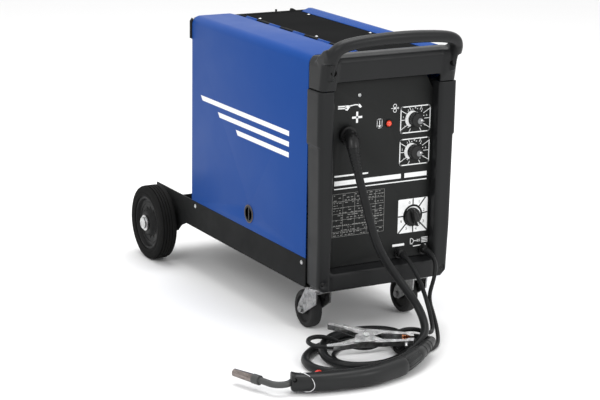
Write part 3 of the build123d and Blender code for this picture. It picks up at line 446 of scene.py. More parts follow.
torch_lead = cord_curve("torch_lead", TORCH_ROUTE + TORCH_COIL, 0.016)
earth_lead = cord_curve("earth_lead", EARTH_ROUTE, 0.0085)
mains_lead = cord_curve("mains_lead", MAINS_ROUTE, 0.008)


# ------------------------------------------------------------------ generic builders
def rings_mesh(name, rings, mat, body, close_ends=True, smooth=True, loop=False):
    n = len(rings[0])
    verts = [v for r in rings for v in r]
    faces = []
    for i in range(len(rings) - 1):
        for k in range(n):
            faces.append((i * n + k, i * n + (k + 1) % n, (i + 1) * n + (k + 1) % n, (i + 1) * n + k))
    if loop:
        j = (len(rings) - 1) * n
        for k in range(n):
            faces.append((j + k, j + (k + 1) % n, (k + 1) % n, k))
    elif close_ends:
        faces.append(tuple(reversed(range(n))))
        faces.append(tuple(range((len(rings) - 1) * n, len(rings) * n)))
    return new_mesh(name, verts, faces, mat, body, smooth)


def catmull(pts, per=8):
    P = [Vector(p) for p in pts]
    P = [2 * P[0] - P[1]] + P + [2 * P[-1] - P[-2]]
    out = []
    for i in range(1, len(P) - 2):
        for k in range(per):
            t = k / per
            a, b, c, d = P[i - 1], P[i], P[i + 1], P[i + 2]
            out.append(0.5 * ((2 * b) + (c - a) * t + (2 * a - 5 * b + 4 * c - d) * t * t + (3 * b - a - 3 * c + d) * t ** 3))
    out.append(P[-2])
    return out


def swept(name, line, section, mat, body, up=Vector((0, 0, 1)), close_ends=True):
    """section(t) gives the ring's (side, up) pairs at share t of the line."""
    rings = []
    n = len(line)
    for i, p in enumerate(line):
        d = (line[min(i + 1, n - 1)] - line[max(i - 1, 0)]).normalized()
        side = d.cross(up).normalized()
        u = side.cross(d).normalized()
        rings.append([p + side * a + u * b for a, b in section(i / (n - 1))])
    return rings_mesh(name, rings, mat, body, close_ends)


def circle_pts(rx, ry, n=28, power=2.0):
    out = []
    for k in range(n):
        a = 2 * math.pi * k / n
        c, s = math.cos(a), math.sin(a)
        out.append((rx * math.copysign(abs(c) ** (2 / power), c), ry * math.copysign(abs(s) ** (2 / power), s)))
    return out


def tube(name, pts, r, mat, body, n=12):
    return swept(name, [Vector(p) for p in pts], lambda t: circle_pts(r, r, n), mat, body)


def lathe(name, axis_o, axis_d, profile, mat, body, n=48, ref=Vector((0, 0, 1)), loop=False):
    """profile: (distance along the axis, radius)."""
    d = Vector(axis_d).normalized()
    if abs(d.dot(ref)) > 0.9:
        ref = Vector((0, 1, 0))
    u = d.cross(ref).normalized()
    v = d.cross(u)
    rings = []
    for a, r in profile:
        r = max(r, 1e-5)
        rings.append([Vector(axis_o) + d * a + (u * math.cos(2 * math.pi * k / n) + v * math.sin(2 * math.pi * k / n)) * r
                      for k in range(n)])
    o = rings_mesh(name, rings, mat, body, loop=loop)
    return sharp(o, 40)


# ------------------------------------------------------------------ case
def smoothstep(a, b, v):
    t = min(1.0, max(0.0, (v - a) / (b - a)))
    return t * t * (3 - 2 * t)


def hood_front(z):
    pts = ((487.6, -352), (503, -355), (541, -361), (550, -357), (554, -346))
    for (z0, y0), (z1, y1) in zip(pts, pts[1:]):
        if z <= z1:
            return y0 + (y1 - y0) * max(0.0, (z - z0) / (z1 - z0))
    return -346


def round_corner(v, half, front, r):
    """Brings a point outside the rounded vertical corner onto it (millimetres)."""
    dx, dy = abs(v.x) - (half - r), (front + r) - v.y
    if dx > 0 and dy > 0:
        d = math.hypot(dx, dy)
        if d > r:
            v.x = math.copysign(half - r + dx * r / d, v.x)
            v.y = front + r - dy * r / d


def reshape(o, fn):
    for vert in o.data.vertices:
        v = vert.co / MM
        fn(v)
        vert.co = v * MM
    o.data.update()


def smooth_where(o, weight, rounds, factor=0.5):
    g = o.vertex_groups.new(name="soft")
    for vert in o.data.vertices:
        w = weight(vert.co / MM)
        if w > 0:
            g.add([vert.index], w, "REPLACE")
    m = o.modifiers.new("soft", "SMOOTH")
    m.vertex_group = "soft"
    m.factor = factor
    m.iterations = rounds
    apply_modifiers(o)
    o.vertex_groups.clear()


fascia = softened("front_frame", "machine", voxel=0.0020, rounds=5)


def fascia_shape(v):
    half = 152.0 if v.z > 382 else 148.8 - (2.8 * (380 - v.z) / 272 if v.z > 108 else 2.8 + (108 - v.z))
    front = -352.0 + (5 * (200 - v.z) / 110 if v.z < 200 else 0)
    round_corner(v, half, front, 8.5)
    # rolled inner edge of the opening and of the sill
    for edge, sx in ((-117, -1), (112, 1)):
        inn = (v.x - edge) * sx
        if 0 <= inn < 9 and v.y < front + 9:
            d = math.hypot(9 - inn, front + 9 - v.y)
            if d > 9:
                v.x = edge + sx * (9 - (9 - inn) * 9 / d)
                v.y = front + 9 - (front + 9 - v.y) * 9 / d


reshape(fascia, fascia_shape)
smooth_where(fascia, lambda v: 1.0 if v.y < -338 else 0.0, 5)

def swept_rings(pts, section, up=Vector((0, -1, 0))):
    """Closed tube as vertices and faces; section(i) gives (across, along up) half sizes."""
    n, verts, faces = 24, [], []
    for i, q in enumerate(pts):
        d = (pts[min(i + 1, len(pts) - 1)] - pts[max(i - 1, 0)]).normalized()
        side = d.cross(up).normalized()
        u = side.cross(d).normalized()
        a, b = section(q)
        verts += [q + side * x + u * y for x, y in circle_pts(a, b, n, 2.4)]
    for i in range(len(pts) - 1):
        for k in range(n):
            faces.append((i * n + k, i * n + (k + 1) % n, (i + 1) * n + (k + 1) % n, (i + 1) * n + k))
    faces.append(tuple(reversed(range(n))))
    faces.append(tuple(range((len(pts) - 1) * n, len(pts) * n)))
    return verts, faces


half_loop = [(138, -350, 512), (137.6, -355, 530), (137.0, -361, 546), (134.5, -368, 560), (126, -374, 571), (110, -377.5, 577.5),
             (82, -380, 581.5), (42, -381.5, 584), (0, -382, 584.6)]
loop_pts = catmull([mm(q) for q in half_loop] + [mm((-x, y, z)) for x, y, z in half_loop[-2::-1]], 6)
loop = swept_rings(loop_pts, lambda q: ((11.6 + 0.6 * smoothstep(60, 120, 130 - abs(q.x / MM))) * MM, 13.8 * MM))
webs = []
for sx in (-1, 1):
    prof = [(-322, 538), (-356, 515), (-361, 541), (-372, 556), (-366, 570), (-352, 566), (-336, 553)]
    m_ = len(prof)
    V = [mm((sx * x, y, z)) for x in (128.5, 148.6) for y, z in prof]
    webs.append((V, [tuple(range(m_)), tuple(reversed(range(m_, 2 * m_)))] + [(k, (k + 1) % m_, m_ + (k + 1) % m_, m_ + k) for k in range(m_)]))
hood = softened("handle_hood", "machine", voxel=0.0017, rounds=4, keep=((-160, -361.5, 480), (160, -300, 554.6)), add=[loop] + webs)


def hood_shape(v):
    # the ends of the loop turn down in a wide curve
    r = 24
    dx, dz = abs(v.x) - (149.3 - r), v.z - (588 - r)
    if v.y < -318 and dx > 0 and dz > 0:
        d = math.hypot(dx, dz)
        if d > r:
            v.x = math.copysign(149.3 - r + dx * r / d, v.x)
            v.z = 588 - r + dz * r / d
    if v.z < 540:
        round_corner(v, 149.3, hood_front(v.z), 12)
    # raised legs each side of a slightly sunk brow
    if v.y < hood_front(v.z) + 4.5 and 490 < v.z < 556:
        up = smoothstep(490, 508, v.z)
        side = smoothstep(112, 122, abs(v.x))
        v.y += up * (2.2 * (1 - side) - 2.0 * side * (1 - smoothstep(134, 147, abs(v.x))))


reshape(hood, hood_shape)
smooth_where(hood, lambda v: smoothstep(545, 556, v.z) * (1 if v.y < -340 or abs(v.x) > 120 else 0), 16)
smooth_where(hood, lambda v: 1.0 if v.y < -338 else 0.0, 6)

for node, body, bev, seg in (("side_door", "door", 0.0006, 2), ("right_panel", "machine", 0.0006, 2),
                             ("cart_rail_left", "machine", 0.0007, 2),
                             ("cart_rail_right", "machine", 0.0007, 2), ("bottle_platform", "machine", 0.0005, 2),
                             ("bottle_bracket", "machine", 0.0009, 2), ("front_panel", "machine", 0.0006, 2),
                             ("rear_panel", "machine", 0.0005, 1), ("divider", "machine", 0.0005, 1)):
    refined(node, body, bev, seg)
refined("top_cover", "machine", 0.0007, 2, mat="cover_paint")

# ------------------------------------------------------------------ printed panel
PRINT_Y = -329.0 - 0.12


def flat(name, polys, mat, depth=0.1, body="machine", plane="y", at=None):
    """Thin screen print: convex polygons in the plane, a tenth of a millimetre proud."""
    verts, faces = [], []
    at = PRINT_Y if at is None else at
    for poly in polys:
        i = len(verts)
        n = len(poly)
        for off in (0.0, depth):
            for a, b in poly:
                verts.append(mm((a, at + off, b)) if plane == "y" else mm((at + off, a, b)))
        faces.append(tuple(range(i, i + n)))
        faces.append(tuple(reversed(range(i + n, i + 2 * n))))
        for k in range(n):
            faces.append((i + k, i + (k + 1) % n, i + n + (k + 1) % n, i + n + k))
    return new_mesh(name, verts, faces, mat, body, smooth=False)


def bar(x0, z0, x1, z1, w):
    d = Vector((x1 - x0, z1 - z0))
    L = d.length
    nx, nz = -d.y / L * w / 2, d.x / L * w / 2
    return [(x0 + nx, z0 + nz), (x1 + nx, z1 + nz), (x1 - nx, z1 - nz), (x0 - nx, z0 - nz)]


def path_bars(pts, w, closed=False):
    seq = list(zip(pts, pts[1:] + (pts[:1] if closed else [])))
    if not closed:
        seq = list(zip(pts, pts[1:]))
    out = [bar(a[0], a[1], b[0], b[1], w) for a, b in seq]
    for p in pts:
        out.append([(p[0] + w / 2 * math.cos(k * math.pi / 5), p[1] + w / 2 * math.sin(k * math.pi / 5)) for k in range(10)])
    return out


def round_rect(x0, z0, x1, z1, r, n=5):
    pts = []
    for cx, cz, a0 in ((x1 - r, z1 - r, 0), (x0 + r, z1 - r, 90), (x0 + r, z0 + r, 180), (x1 - r, z0 + r, 270)):
        for k in range(n + 1):
            a = math.radians(a0 + 90 * k / n)
            pts.append((cx + r * math.cos(a), cz + r * math.sin(a)))
    return pts


def ring(cx, cz, r, w, a0=0, a1=360, n=40, taper=None):
    out = []
    for k in range(n):
        t0, t1 = k / n, (k + 1) / n
        p, q = math.radians(a0 + (a1 - a0) * t0), math.radians(a0 + (a1 - a0) * t1)
        w0, w1 = (w, w) if taper is None else (taper(t0), taper(t1))
        out.append([(cx + r * math.cos(p), cz + r * math.sin(p)), (cx + r * math.cos(q), cz + r * math.sin(q)),
                    (cx + (r + w1) * math.cos(q), cz + (r + w1) * math.sin(q)),
                    (cx + (r + w0) * math.cos(p), cz + (r + w0) * math.sin(p))])
    return out


def text_polys(name, txt, x, z, size, mat="white_print", spin=0.0, body="machine"):
    cu = bpy.data.curves.new(name, "FONT")
    cu.body = txt
    cu.size = size * MM
    cu.align_x = "CENTER"
    cu.align_y = "CENTER"
    cu.extrude = 0.00004
    o = link(bpy.data.objects.new(name, cu))
    o.matrix_world = Matrix.Translation(mm((x, PRINT_Y + 0.04, z))) @ Matrix.Rotation(math.radians(90), 4, "X") @ \
        Matrix.Rotation(math.radians(spin), 4, "Z")
    bpy.context.view_layer.update()
    me = bpy.data.meshes.new_from_object(o.evaluated_get(bpy.context.evaluated_depsgraph_get()))
    me.transform(o.matrix_world)
    bpy.data.objects.remove(o)
    me.materials.clear()
    me.materials.append(MATS[mat])
    t = link(bpy.data.objects.new(name, me))
    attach(t, body)
    return t


white = []
# torch pictogram
white += [[(-99.5, 453.6), (-82, 453.2), (-82, 450.6), (-99.5, 450.9)], [(-99.5, 449.6), (-80, 448.9), (-80, 446.6), (-99.5, 447.2)],
          [(-84, 453.6), (-74.5, 453), (-73, 449.8), (-79, 443.2), (-83.5, 444.6)],
          [(-75, 452.6), (-62, 454.2), (-62, 452.3), (-75, 450.4)], [(-62, 454.2), (-54, 453.4), (-54.5, 451.3), (-62, 452.3)],
          [(-55.5, 454.2), (-52, 453.6), (-47.4, 448.4), (-51, 446.2), (-55.8, 450.6)]]
# plus and minus marks
white += [[(-68.3, 430.6), (-46.3, 430.6), (-46.3, 426.6), (-68.3, 426.6)], [(-59.4, 439.4), (-55.2, 439.4), (-55.2, 418), (-59.4, 418)]]
white += [[(29.5, 168.4), (56.5, 168.4), (56.5, 163.6), (29.5, 163.6)]]
# two dial frames with rays, an arc that widens, and small figures outside it
for zc in (413.5, 350.0):
    x0, x1, z0, z1 = 39.2, 107.2, zc - 26.4, zc + 26.4
    white += path_bars(round_rect(x0 + 1, z0 + 1, x1 - 1, z1 - 1, 4), 2.0, closed=True)
    for a in range(0, 360, 30):
        if 250 < a < 290:
            continue
        c, s = math.cos(math.radians(a)), math.sin(math.radians(a))
        k = min(33 / max(abs(c), 1e-6), 25.4 / max(abs(s), 1e-6))
        white.append(bar(73 + 20.5 * c, zc + 20.5 * s, 73 + k * c, zc + k * s, 1.1))
    white += ring(71.5, zc, 14.0, 3, 235, 62, 36, taper=lambda t: 0.4 + 7.0 * math.sin(math.pi * min(1, 0.12 + t)) ** 0.8)
    for a in range(-45, 226, 30):
        c, s = math.cos(math.radians(a)), math.sin(math.radians(a))
        white.append(bar(72 + 19.6 * c, zc + 19.6 * s, 72 + 21.6 * c, zc + 21.6 * s, 1.6))
# wire feed pictogram
white += ring(26.2, 443.2, 2.9, 1.0, 0, 360, 24) + ring(26.2, 434.2, 2.9, 1.0, 0, 360, 24)
white += [bar(17.5, 438.7, 35, 438.7, 0.9), bar(32.4, 440.6, 35, 438.7, 0.9), bar(32.4, 436.8, 35, 438.7, 0.9)]
# thermal lamp pictogram
white += path_bars(round_rect(-12.6, 403.4, -1.8, 420.6, 2), 0.8, closed=True)
white += [bar(-7.2, 418, -7.2, 408, 1.4)] + ring(-7.2, 407.4, 0.1, 2.2, 0, 360, 14)
flat("panel_marks", white, "white_print")
for zc in (413.5, 350.0):
    for i, a in enumerate((215, 165, 125, 90, 55, 15, -35)):
        c, s = math.cos(math.radians(a)), math.sin(math.radians(a))
        text_polys(f"dial_figure_{int(zc)}_{i}", str(i + 1), 72 + 24.6 * c * 1.12, zc + 22.6 * s * 0.98, 5.2)

# power switch plate: white square cut by black rays, figures in its corners
plate = [round_rect(40.4, 188.6, 107.6, 256.4, 2.2, 4)]
flat("switch_plate", plate, "white_print", at=PRINT_Y)
rays = []
for a in (90, 50, 6, -44, -88, 226, 180):
    c, s = math.cos(math.radians(a)), math.sin(math.radians(a))
    k = min(33.4 / max(abs(c), 1e-6), 33.6 / max(abs(s), 1e-6))
    rays.append(bar(74 + 19 * c, 222.5 + 19 * s, 74 + k * c, 222.5 + k * s, 2.7))
rays += ring(74, 222.5, 18.0, 4.0, 0, 360, 48)
flat("switch_rays", rays, "panel_plate", at=PRINT_Y - 0.08, depth=0.08)
for t, x, z in (("0", 66, 248), ("1", 88, 248.5), ("2", 99, 231), ("3", 98.5, 208), ("4", 82, 194.5), ("5", 60, 197.5), ("6", 48, 213)):
    o = text_polys("switch_figure_" + t, t, x, z, 8.0, mat="panel_plate")
    o.data.transform(Matrix.Translation((0, -0.00012, 0)))
# mains plug pictogram and small rules beside it
small = path_bars([(70.5, 176), (70.5, 164.5), (75.5, 164.5)], 1.2) + path_bars([(70.5, 176), (75.5, 174.5), (78.5, 170.3), (75.5, 166), (70.5, 164.5)], 1.2)
small += [bar(79, 170.3, 85, 170.3, 1.3), bar(86.5, 173, 86.5, 167.6, 1.3), bar(88.6, 171.9, 93, 171.9, 1.0), bar(88.6, 168.7, 93, 168.7, 1.0)]
small += [bar(96, 175 - 3 * k, 110, 175 - 3 * k, 1.5) for k in range(4)] + [bar(77, 159.6, 107, 160.4, 1.8)]
# plain colour bands
small += [bar(-104, 318, -30, 318, 3.2), bar(-104, 304, 44, 304, 9.0), bar(52, 304, 103, 304, 9.0), bar(-104, 293, 103, 293, 2.0)]
flat("panel_bands", small, "white_print")
# rating table: rules and short unreadable dashes
table = []
tx0, tx1, tz0, tz1 = -107, 8, 199, 283
for z in (tz1, 268, 256, 244, 232, 220, 209, tz0):
    table.append(bar(tx0, z, tx1, z, 0.5))
for x in (tx0, -84, -58, -31, -12, tx1):
    table.append(bar(x, tz0, x, tz1, 0.5))
rnd = random.Random(3)
for z in [280 - 4.9 * k for k in range(17)]:
    x = tx0 + 2.5
    while x < tx1 - 4:
        w = rnd.uniform(1.5, 7)
        if rnd.random() < 0.6:
            table.append(bar(x, z, min(x + w, tx1 - 2), z, 1.2))
        x += w + rnd.uniform(1.2, 4)
flat("rating_table", table, "grey_print")

# three plain stripes on the door
dev = []
for k, (y0, y1) in enumerate(((-232, 138), (-232, 60), (-232, -20))):
    z = 386 - 21 * k
    dev.append([(y0, z - 5), (y1, z - 5), (y1 + 8, z + 5), (y0, z + 5)])
flat("door_stripes", dev, "white_print", at=-149.3 - 0.14, plane="x", body="door", depth=0.12)

# ------------------------------------------------------------------ latch rim, screws
lathe("latch_rim", mm((-149.3, -71.7, 188.8)), (-1, 0, 0), [(0.0, 0.0172), (0.0009, 0.0186), (0.0011, 0.0178), (0.0011, 0.0172), (0.0, 0.0171)],
      "brown_rim", "door")


def screw(name, pos, axis, r=0.0036, h=0.0019, mat="zinc", body="machine"):
    o = lathe(name, Vector(pos), axis, [(0, r * 0.96), (h * 0.45, r), (h * 0.8, r * 0.82), (h, r * 0.45), (h * 0.86, r * 0.34),
                                        (h * 0.45, r * 0.16), (h * 0.42, 0)], mat, body, n=18)
    return o


i = 0
for s in (-1, 1):
    # recessed screw seat at the top of each leg, coloured near-black as painted shade of the hole
    lathe(f"hood_seat_{s + 1}", mm((s * 131.5, -364.0, 524.6)), (0, -1, 0), [(-0.002, 0.0060), (0.0026, 0.0060), (0.0034, 0.0056), (0.0034, 0.0050),
          (0.0020, 0.0048), (0.0016, 0.0)], "recess_painted_shade", "machine", n=28)
for s in (-1, 1):
    for y, z in ((170, 147), (-290, 146)):
        screw(f"cart_screw_{i}", mm((s * 149.3, y, z)), (s, 0, 0), r=0.0044, h=0.0023); i += 1
for x, y in ((-19, 134), (-19, -103), (101, 141), (101, -110)):
    screw(f"roof_screw_{i}", mm((x, y, 543.5)), (0, 0, 1)); i += 1
screw("panel_screw", mm((-53, -329, 471)), (0, -1, 0))
for s in (-1, 1):
    screw(f"fascia_screw_{s + 1}", mm((s * 134, -344.5, 114)), (0, -1, 0), r=0.0045, h=0.002, mat="knob_plastic")
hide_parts("screws")

# ------------------------------------------------------------------ wheels: tread blocks and rim ribs
for side, tag in ((-1, "left"), (1, "right")):
    body = "wheel_" + tag
    lo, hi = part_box("wheel_tyre_" + tag)
    c = (lo + hi) / 2
    xo = side * 0.1973
    ax = Vector((c.x, 0.3153, 0.0807))
    xi, xe = side * 0.1584, side * 0.1986
    prof = [(0.0, 0.058), (0.0, 0.0680), (0.0010, 0.0755), (0.0034, 0.0792), (0.0066, 0.0804)]
    for k in range(4):
        x0 = 0.0086 + 0.0062 * k
        prof += [(x0, 0.0807), (x0 + 0.0042, 0.0807), (x0 + 0.0047, 0.0780), (x0 + 0.0058, 0.0780)]
    prof += [(0.0346, 0.0804), (0.0376, 0.0790), (0.0394, 0.0755), (0.0400, 0.0700), (0.0402, 0.0672), (0.0394, 0.0660), (0.0402, 0.0648),
             (0.0402, 0.0600), (0.0392, 0.058)]
    tyre = lathe("tyre_" + tag, Vector((xi, ax.y, ax.z)), (side, 0, 0), prof, "tyre_rubber", body, n=96, loop=True)
    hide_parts("wheel_tyre_" + tag)
    # stepped outer face of the rim
    lathe("rim_face_" + tag, Vector((side * 0.1884, ax.y, ax.z)), (side, 0, 0),
          [(-0.004, 0.0205), (0.0072, 0.0205), (0.0088, 0.019), (0.0088, 0.0225), (0.006, 0.026), (0.001, 0.0285), (-0.002, 0.033),
           (-0.002, 0.0405), (0.0015, 0.0425), (0.0015, 0.0455), (-0.002, 0.0475), (0.000, 0.0515), (0.0035, 0.053), (0.0035, 0.0565),
           (-0.001, 0.0575), (-0.004, 0.057)], "rim_plastic", body)
    ribs = []
    for k in range(12):
        a = 2 * math.pi * k / 12
        d = Vector((0, math.cos(a), math.sin(a)))
        t = Vector((0, -math.sin(a), math.cos(a)))
        q = []
        for rr, hx in ((0.0285, 0.1890), (0.0405, 0.1878)):
            for w in (-0.0014, 0.0014):
                q.append((Vector((side * 0.1862, ax.y, ax.z)) + d * rr + t * w, Vector((side * hx, ax.y, ax.z)) + d * rr + t * w))
        ribs.append(q)
    V, Fc = [], []
    for q in ribs:
        b0 = len(V)
        for lo_, hi_ in q:
            V += [lo_, hi_]
        Fc += [(b0 + 1, b0 + 3, b0 + 7, b0 + 5), (b0, b0 + 1, b0 + 5, b0 + 4), (b0 + 2, b0 + 6, b0 + 7, b0 + 3),
               (b0, b0 + 2, b0 + 3, b0 + 1), (b0 + 4, b0 + 5, b0 + 7, b0 + 6), (b0, b0 + 4, b0 + 6, b0 + 2)]
    new_mesh("rim_ribs_" + tag, V, Fc, "rim_plastic", body, smooth=False)

# ------------------------------------------------------------------ torch
HANDLE = [(-322, -561, 19.8), (-311, -566, 19.8), (-285, -578, 19.8), (-235, -590, 19.8), (-177, -594, 19.8), (-120, -582, 20.4),
          (-98, -575, 21.2), (-68, -561, 24.5), (-41, -547, 27.5), (8, -510, 31)]
line = [p * MM for p in catmull(HANDLE, 10)]


def grip_section(t):
    # flared collar at the neck end, long grip, tapering boot
    key = [(0.0, 14.8, 16.6), (0.02, 17.0, 18.6), (0.055, 16.6, 18.0), (0.10, 15.8, 16.6), (0.15, 15.8, 16.2), (0.30, 17.2, 17.2),
           (0.5, 17.8, 17.9), (0.62, 17.8, 17.9), (0.655, 17.4, 17.4), (0.662, 16.2, 16.2), (0.70, 17.2, 17.2), (0.84, 15.2, 15.2), (0.93, 12.0, 12.0),
           (1.0, 8.9, 8.9)]
    for (a, w0, h0), (b, w1, h1) in zip(key, key[1:]):
        if t <= b + 1e-9:
            f = (t - a) / (b - a)
            f = f * f * (3 - 2 * f) if b - a > 0.03 else f
            w, h = w0 + (w1 - w0) * f, h0 + (h1 - h0) * f
            break
    p = 2.5 if t < 0.66 else 2.0
    low = 0.66 + 0.34 * min(1.0, t / 0.085)
    return [(x * MM, y * (low if y < 0 else 1.0) * MM) for x, y in circle_pts(w, h, 32, p)]


torch_grip = swept("torch_grip", line, grip_section, "torch_plastic", "machine")
mod = torch_grip.modifiers.new("sub", "SUBSURF")
mod.levels = mod.render_levels = 1
apply_modifiers(torch_grip)
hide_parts("torch_handle")
# parting seam, boot ribs and screws
seam_pts = [p + Vector((0, 0, grip_section(i / (len(line) - 1))[8][1] + 0.0001)) for i, p in enumerate(line) if 6 < i < 58]
seam = tube("torch_seam", seam_pts, 0.0007, "knob_plastic", "machine", n=8)
n = len(line)


def on_grip(i, deg, lift=0.0):
    d = (line[min(i + 1, n - 1)] - line[max(i - 1, 0)]).normalized()
    side = d.cross(Vector((0, 0, 1))).normalized()
    u = side.cross(d).normalized()
    a = math.radians(deg)
    w = max(q[0] for q in grip_section(i / (n - 1)))
    out = side * math.cos(a) + u * math.sin(a)
    return line[i] + out * (w + lift), out


for k, deg in enumerate((-32, -6, 20, 46, 72, 98)):
    tube(f"boot_flute_{k}", [on_grip(i, deg, -0.0006)[0] for i in range(int(n * 0.675), int(n * 0.83))], 0.0013, "torch_plastic", "machine", n=10)
for k, t in enumerate((0.90, 0.925, 0.95)):
    i0 = int(n * t)
    w = max(q[0] for q in grip_section(i0 / (n - 1)))
    lathe(f"boot_ring_{k}", line[i0], (line[i0 + 1] - line[i0 - 1]).normalized(), [(-0.0016, w * 0.95), (-0.0009, w + 0.0007), (0.0009, w + 0.0007),
          (0.0016, w * 0.95)], "torch_plastic", "machine", n=28)
hook = tube("hook_wire", catmull([mm(q) for q in ((-313, -562, 34.5), (-307, -567, 37.0), (-300, -577, 36.4), (-294.5, -587, 31.5), (-292, -594, 24),
            (-293.5, -597, 15.5), (-300, -594, 9.5), (-307, -586, 7.5))], 6), 0.0009, "zinc", "machine", n=10)
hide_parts("torch_hook")
# screw holes on the grip: near-black discs, painted shade of the holes
for k, (t, deg) in enumerate(((0.085, 30), (0.60, 52))):
    q, out = on_grip(int(n * t), deg, -0.0012 if k else 0.0)
    lathe(f"torch_screw_{k}", q, out, [(-0.002, 0.0040), (0.0010, 0.0040), (0.0016, 0.0034), (0.0012, 0.0028), (0.0006, 0.0)],
          "recess_painted_shade", "machine", n=20)
# finger pad of the trigger, above the lever's own body
V, Fc = [], []
pad = [(-271, 0), (-268.5, 4.6), (-264, 6.4), (-258.5, 5.6), (-256, 0)]
for y in (-561.3, -555.0):
    for x, h in pad:
        V.append(mm((x, y, 25.0 + h)))
m_ = len(pad)
Fc = [tuple(range(m_)), tuple(reversed(range(m_, 2 * m_)))] + [(k, (k + 1) % m_, m_ + (k + 1) % m_, m_ + k) for k in range(m_)]
new_mesh("trigger_pad", V, Fc, "trigger_red", "trigger", smooth=False)

# ------------------------------------------------------------------ clamp: copper teeth, bolt, spring
RIV = mm((-122.7, -488.8, 50))
LG = Vector((0.8545, -0.5195, 0)).normalized()
TL = math.radians(24.7)
SP = Vector((-LG.y * math.cos(TL), LG.x * math.cos(TL), math.sin(TL)))
PV = LG.cross(SP)


def cl(a, b, c=0.0):
    return RIV + (LG * a + SP * b + PV * c) * MM


def teeth(name, sgn, body):
    V, Fc = [], []
    base = 7.4 * sgn
    for i in range(5):
        a = 66 + 4.2 * i
        b0 = len(V)
        for c in (-4.4, 4.4):
            V += [cl(a, base, c), cl(a + 4.0, base, c), cl(a + 4.0, base - 2.2 * sgn, c), cl(a + 2.0, base - 4.6 * sgn, c), cl(a, base - 2.2 * sgn, c)]
        Fc += [(b0, b0 + 1, b0 + 2, b0 + 3, b0 + 4), (b0 + 9, b0 + 8, b0 + 7, b0 + 6, b0 + 5)]
        for k in range(5):
            Fc.append((b0 + k, b0 + (k + 1) % 5, b0 + 5 + (k + 1) % 5, b0 + 5 + k))
    return new_mesh(name, V, Fc, "copper_teeth", body, smooth=False)


teeth("clamp_teeth_upper", 1, "clamp_upper")
teeth("clamp_teeth_lower", -1, "machine")
lathe("clamp_bolt", cl(74, -9.6), -SP, [(0, 0.0048), (0.0034, 0.0048), (0.0036, 0.0034), (0.0036, 0.003), (0.0105, 0.003), (0.011, 0.0022), (0.011, 0)],
      "zinc", "machine", n=6)
coil = []
for k in range(0, 4 * 14 + 1):
    a = 2 * math.pi * k / 14
    coil.append(cl(5.6 * math.cos(a) + 0.0, 5.6 * math.sin(a), -3.4 + 6.8 * k / 56))
tube("clamp_spring", coil, 0.0008, "zinc", "machine", n=8)
# stamped rib on each lever
for s, body in ((1, "clamp_upper"), (-1, "machine")):
    for c in (-6.05, 6.05):
        line2 = [cl(a, s * b, c) for a, b in ((-60, 26.5), (-40, 22.5), (-20, 15.5), (-8, 12.5), (6, 11.5), (20, 12.5), (44, 11.4))]
        tube(f"clamp_rib_{s + 1}_{0 if c < 0 else 1}", line2, 0.0009, "zinc", body, n=8)

# ------------------------------------------------------------------ wire on the spool
lathe("spool_winding", mm((-97, 50, 330)), (1, 0, 0), [(-0.0228, 0.0802), (-0.0228, 0.0925)] + [(-0.0225 + 0.0012 * k, 0.0925 + (0.0006 if k % 2 else 0)) for k in range(38)]
      + [(0.0228, 0.0925), (0.0228, 0.0802)], "wire_copper", "spool")
tube("feed_wire", [mm(p) for p in ((-97, 40, 421.6), (-92, -20, 412), (-84, -80, 401), (-79.4, -112, 397.4))], 0.0006, "wire_copper", "machine", n=8)

# ------------------------------------------------------------------ knob pointers
for nm, z, body in (("speed", 413.5, "speed_knob"), ("time", 350.0, "time_knob")):
    c = mm((76.2, -342.2, z - 2.0))
    lathe(nm + "_cap", c, (0, -1, 0), [(0, 0.0058), (0.0007, 0.0058), (0.0010, 0.0050), (0.0010, 0)], "grey_cap", body, n=28)
    lathe(nm + "_pointer", c + mm((2.6, -1.0, 1.6)), (0, -1, 0), [(0, 0.0017), (0.0003, 0.0016), (0.0003, 0)], "white_print", body,
          n=16)
    for k in range(20):
        a = 2 * math.pi * k / 20
        d = Vector((math.cos(a), 0, math.sin(a)))
        tube(f"{nm}_rib_{k}", [mm((71.5, -331.2, z)) + d * 0.0131, mm((71.5, -341.6, z)) + d * 0.0127], 0.0006, "knob_plastic", body, n=6)
kc = Vector((72.0, 0, 221.0))
skirt = lathe("switch_skirt", mm((72, -329.2, 221)), (0, -1, 0), [(0, 0.0172), (0.0040, 0.0172), (0.0058, 0.0166), (0.0072, 0.0150), (0.0076, 0.0135), (0.0076, 0)],
              "knob_plastic", "power_knob", n=56)
ang = math.radians(-72)
ux, uz = math.cos(ang), math.sin(ang)
V, Fc = [], []
lens = []
for k in range(20):
    a = 2 * math.pi * k / 20
    lens.append((19.4 * math.copysign(abs(math.cos(a)) ** 1.1, math.cos(a)), 5.8 * math.copysign(abs(math.sin(a)) ** 0.8, math.sin(a))))
for y, f in ((-334.0, 1.0), (-343.0, 0.96), (-346.4, 0.88), (-347.8, 0.72)):
    for a, b in lens:
        V.append(mm((kc.x + (a * ux - b * uz) * f, y, kc.z + (a * uz + b * ux) * f)))
for i in range(3):
    for k in range(20):
        Fc.append((i * 20 + k, i * 20 + (k + 1) % 20, (i + 1) * 20 + (k + 1) % 20, (i + 1) * 20 + k))
Fc += [tuple(range(20)), tuple(reversed(range(60, 80)))]
grip_bar = new_mesh("switch_grip", V, Fc, "knob_plastic", "power_knob")
sharp(grip_bar, 40)
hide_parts("range_knob")
q0 = Vector((kc.x + 8 * ux, 0, kc.z + 8 * uz)); q1 = Vector((kc.x + 15 * ux, 0, kc.z + 15 * uz))
mark = [mm((q.x + sx * uz * 0.7, y, q.z - sx * ux * 0.7)) for y in (-347.0, -347.9) for q, sx in ((q0, -1), (q1, -1), (q1, 1), (q0, 1))]
new_mesh("switch_mark", mark, [(0, 1, 2, 3), (7, 6, 5, 4), (0, 1, 5, 4), (1, 2, 6, 5), (2, 3, 7, 6), (3, 0, 4, 7)], "white_print", "power_knob",
         smooth=False)
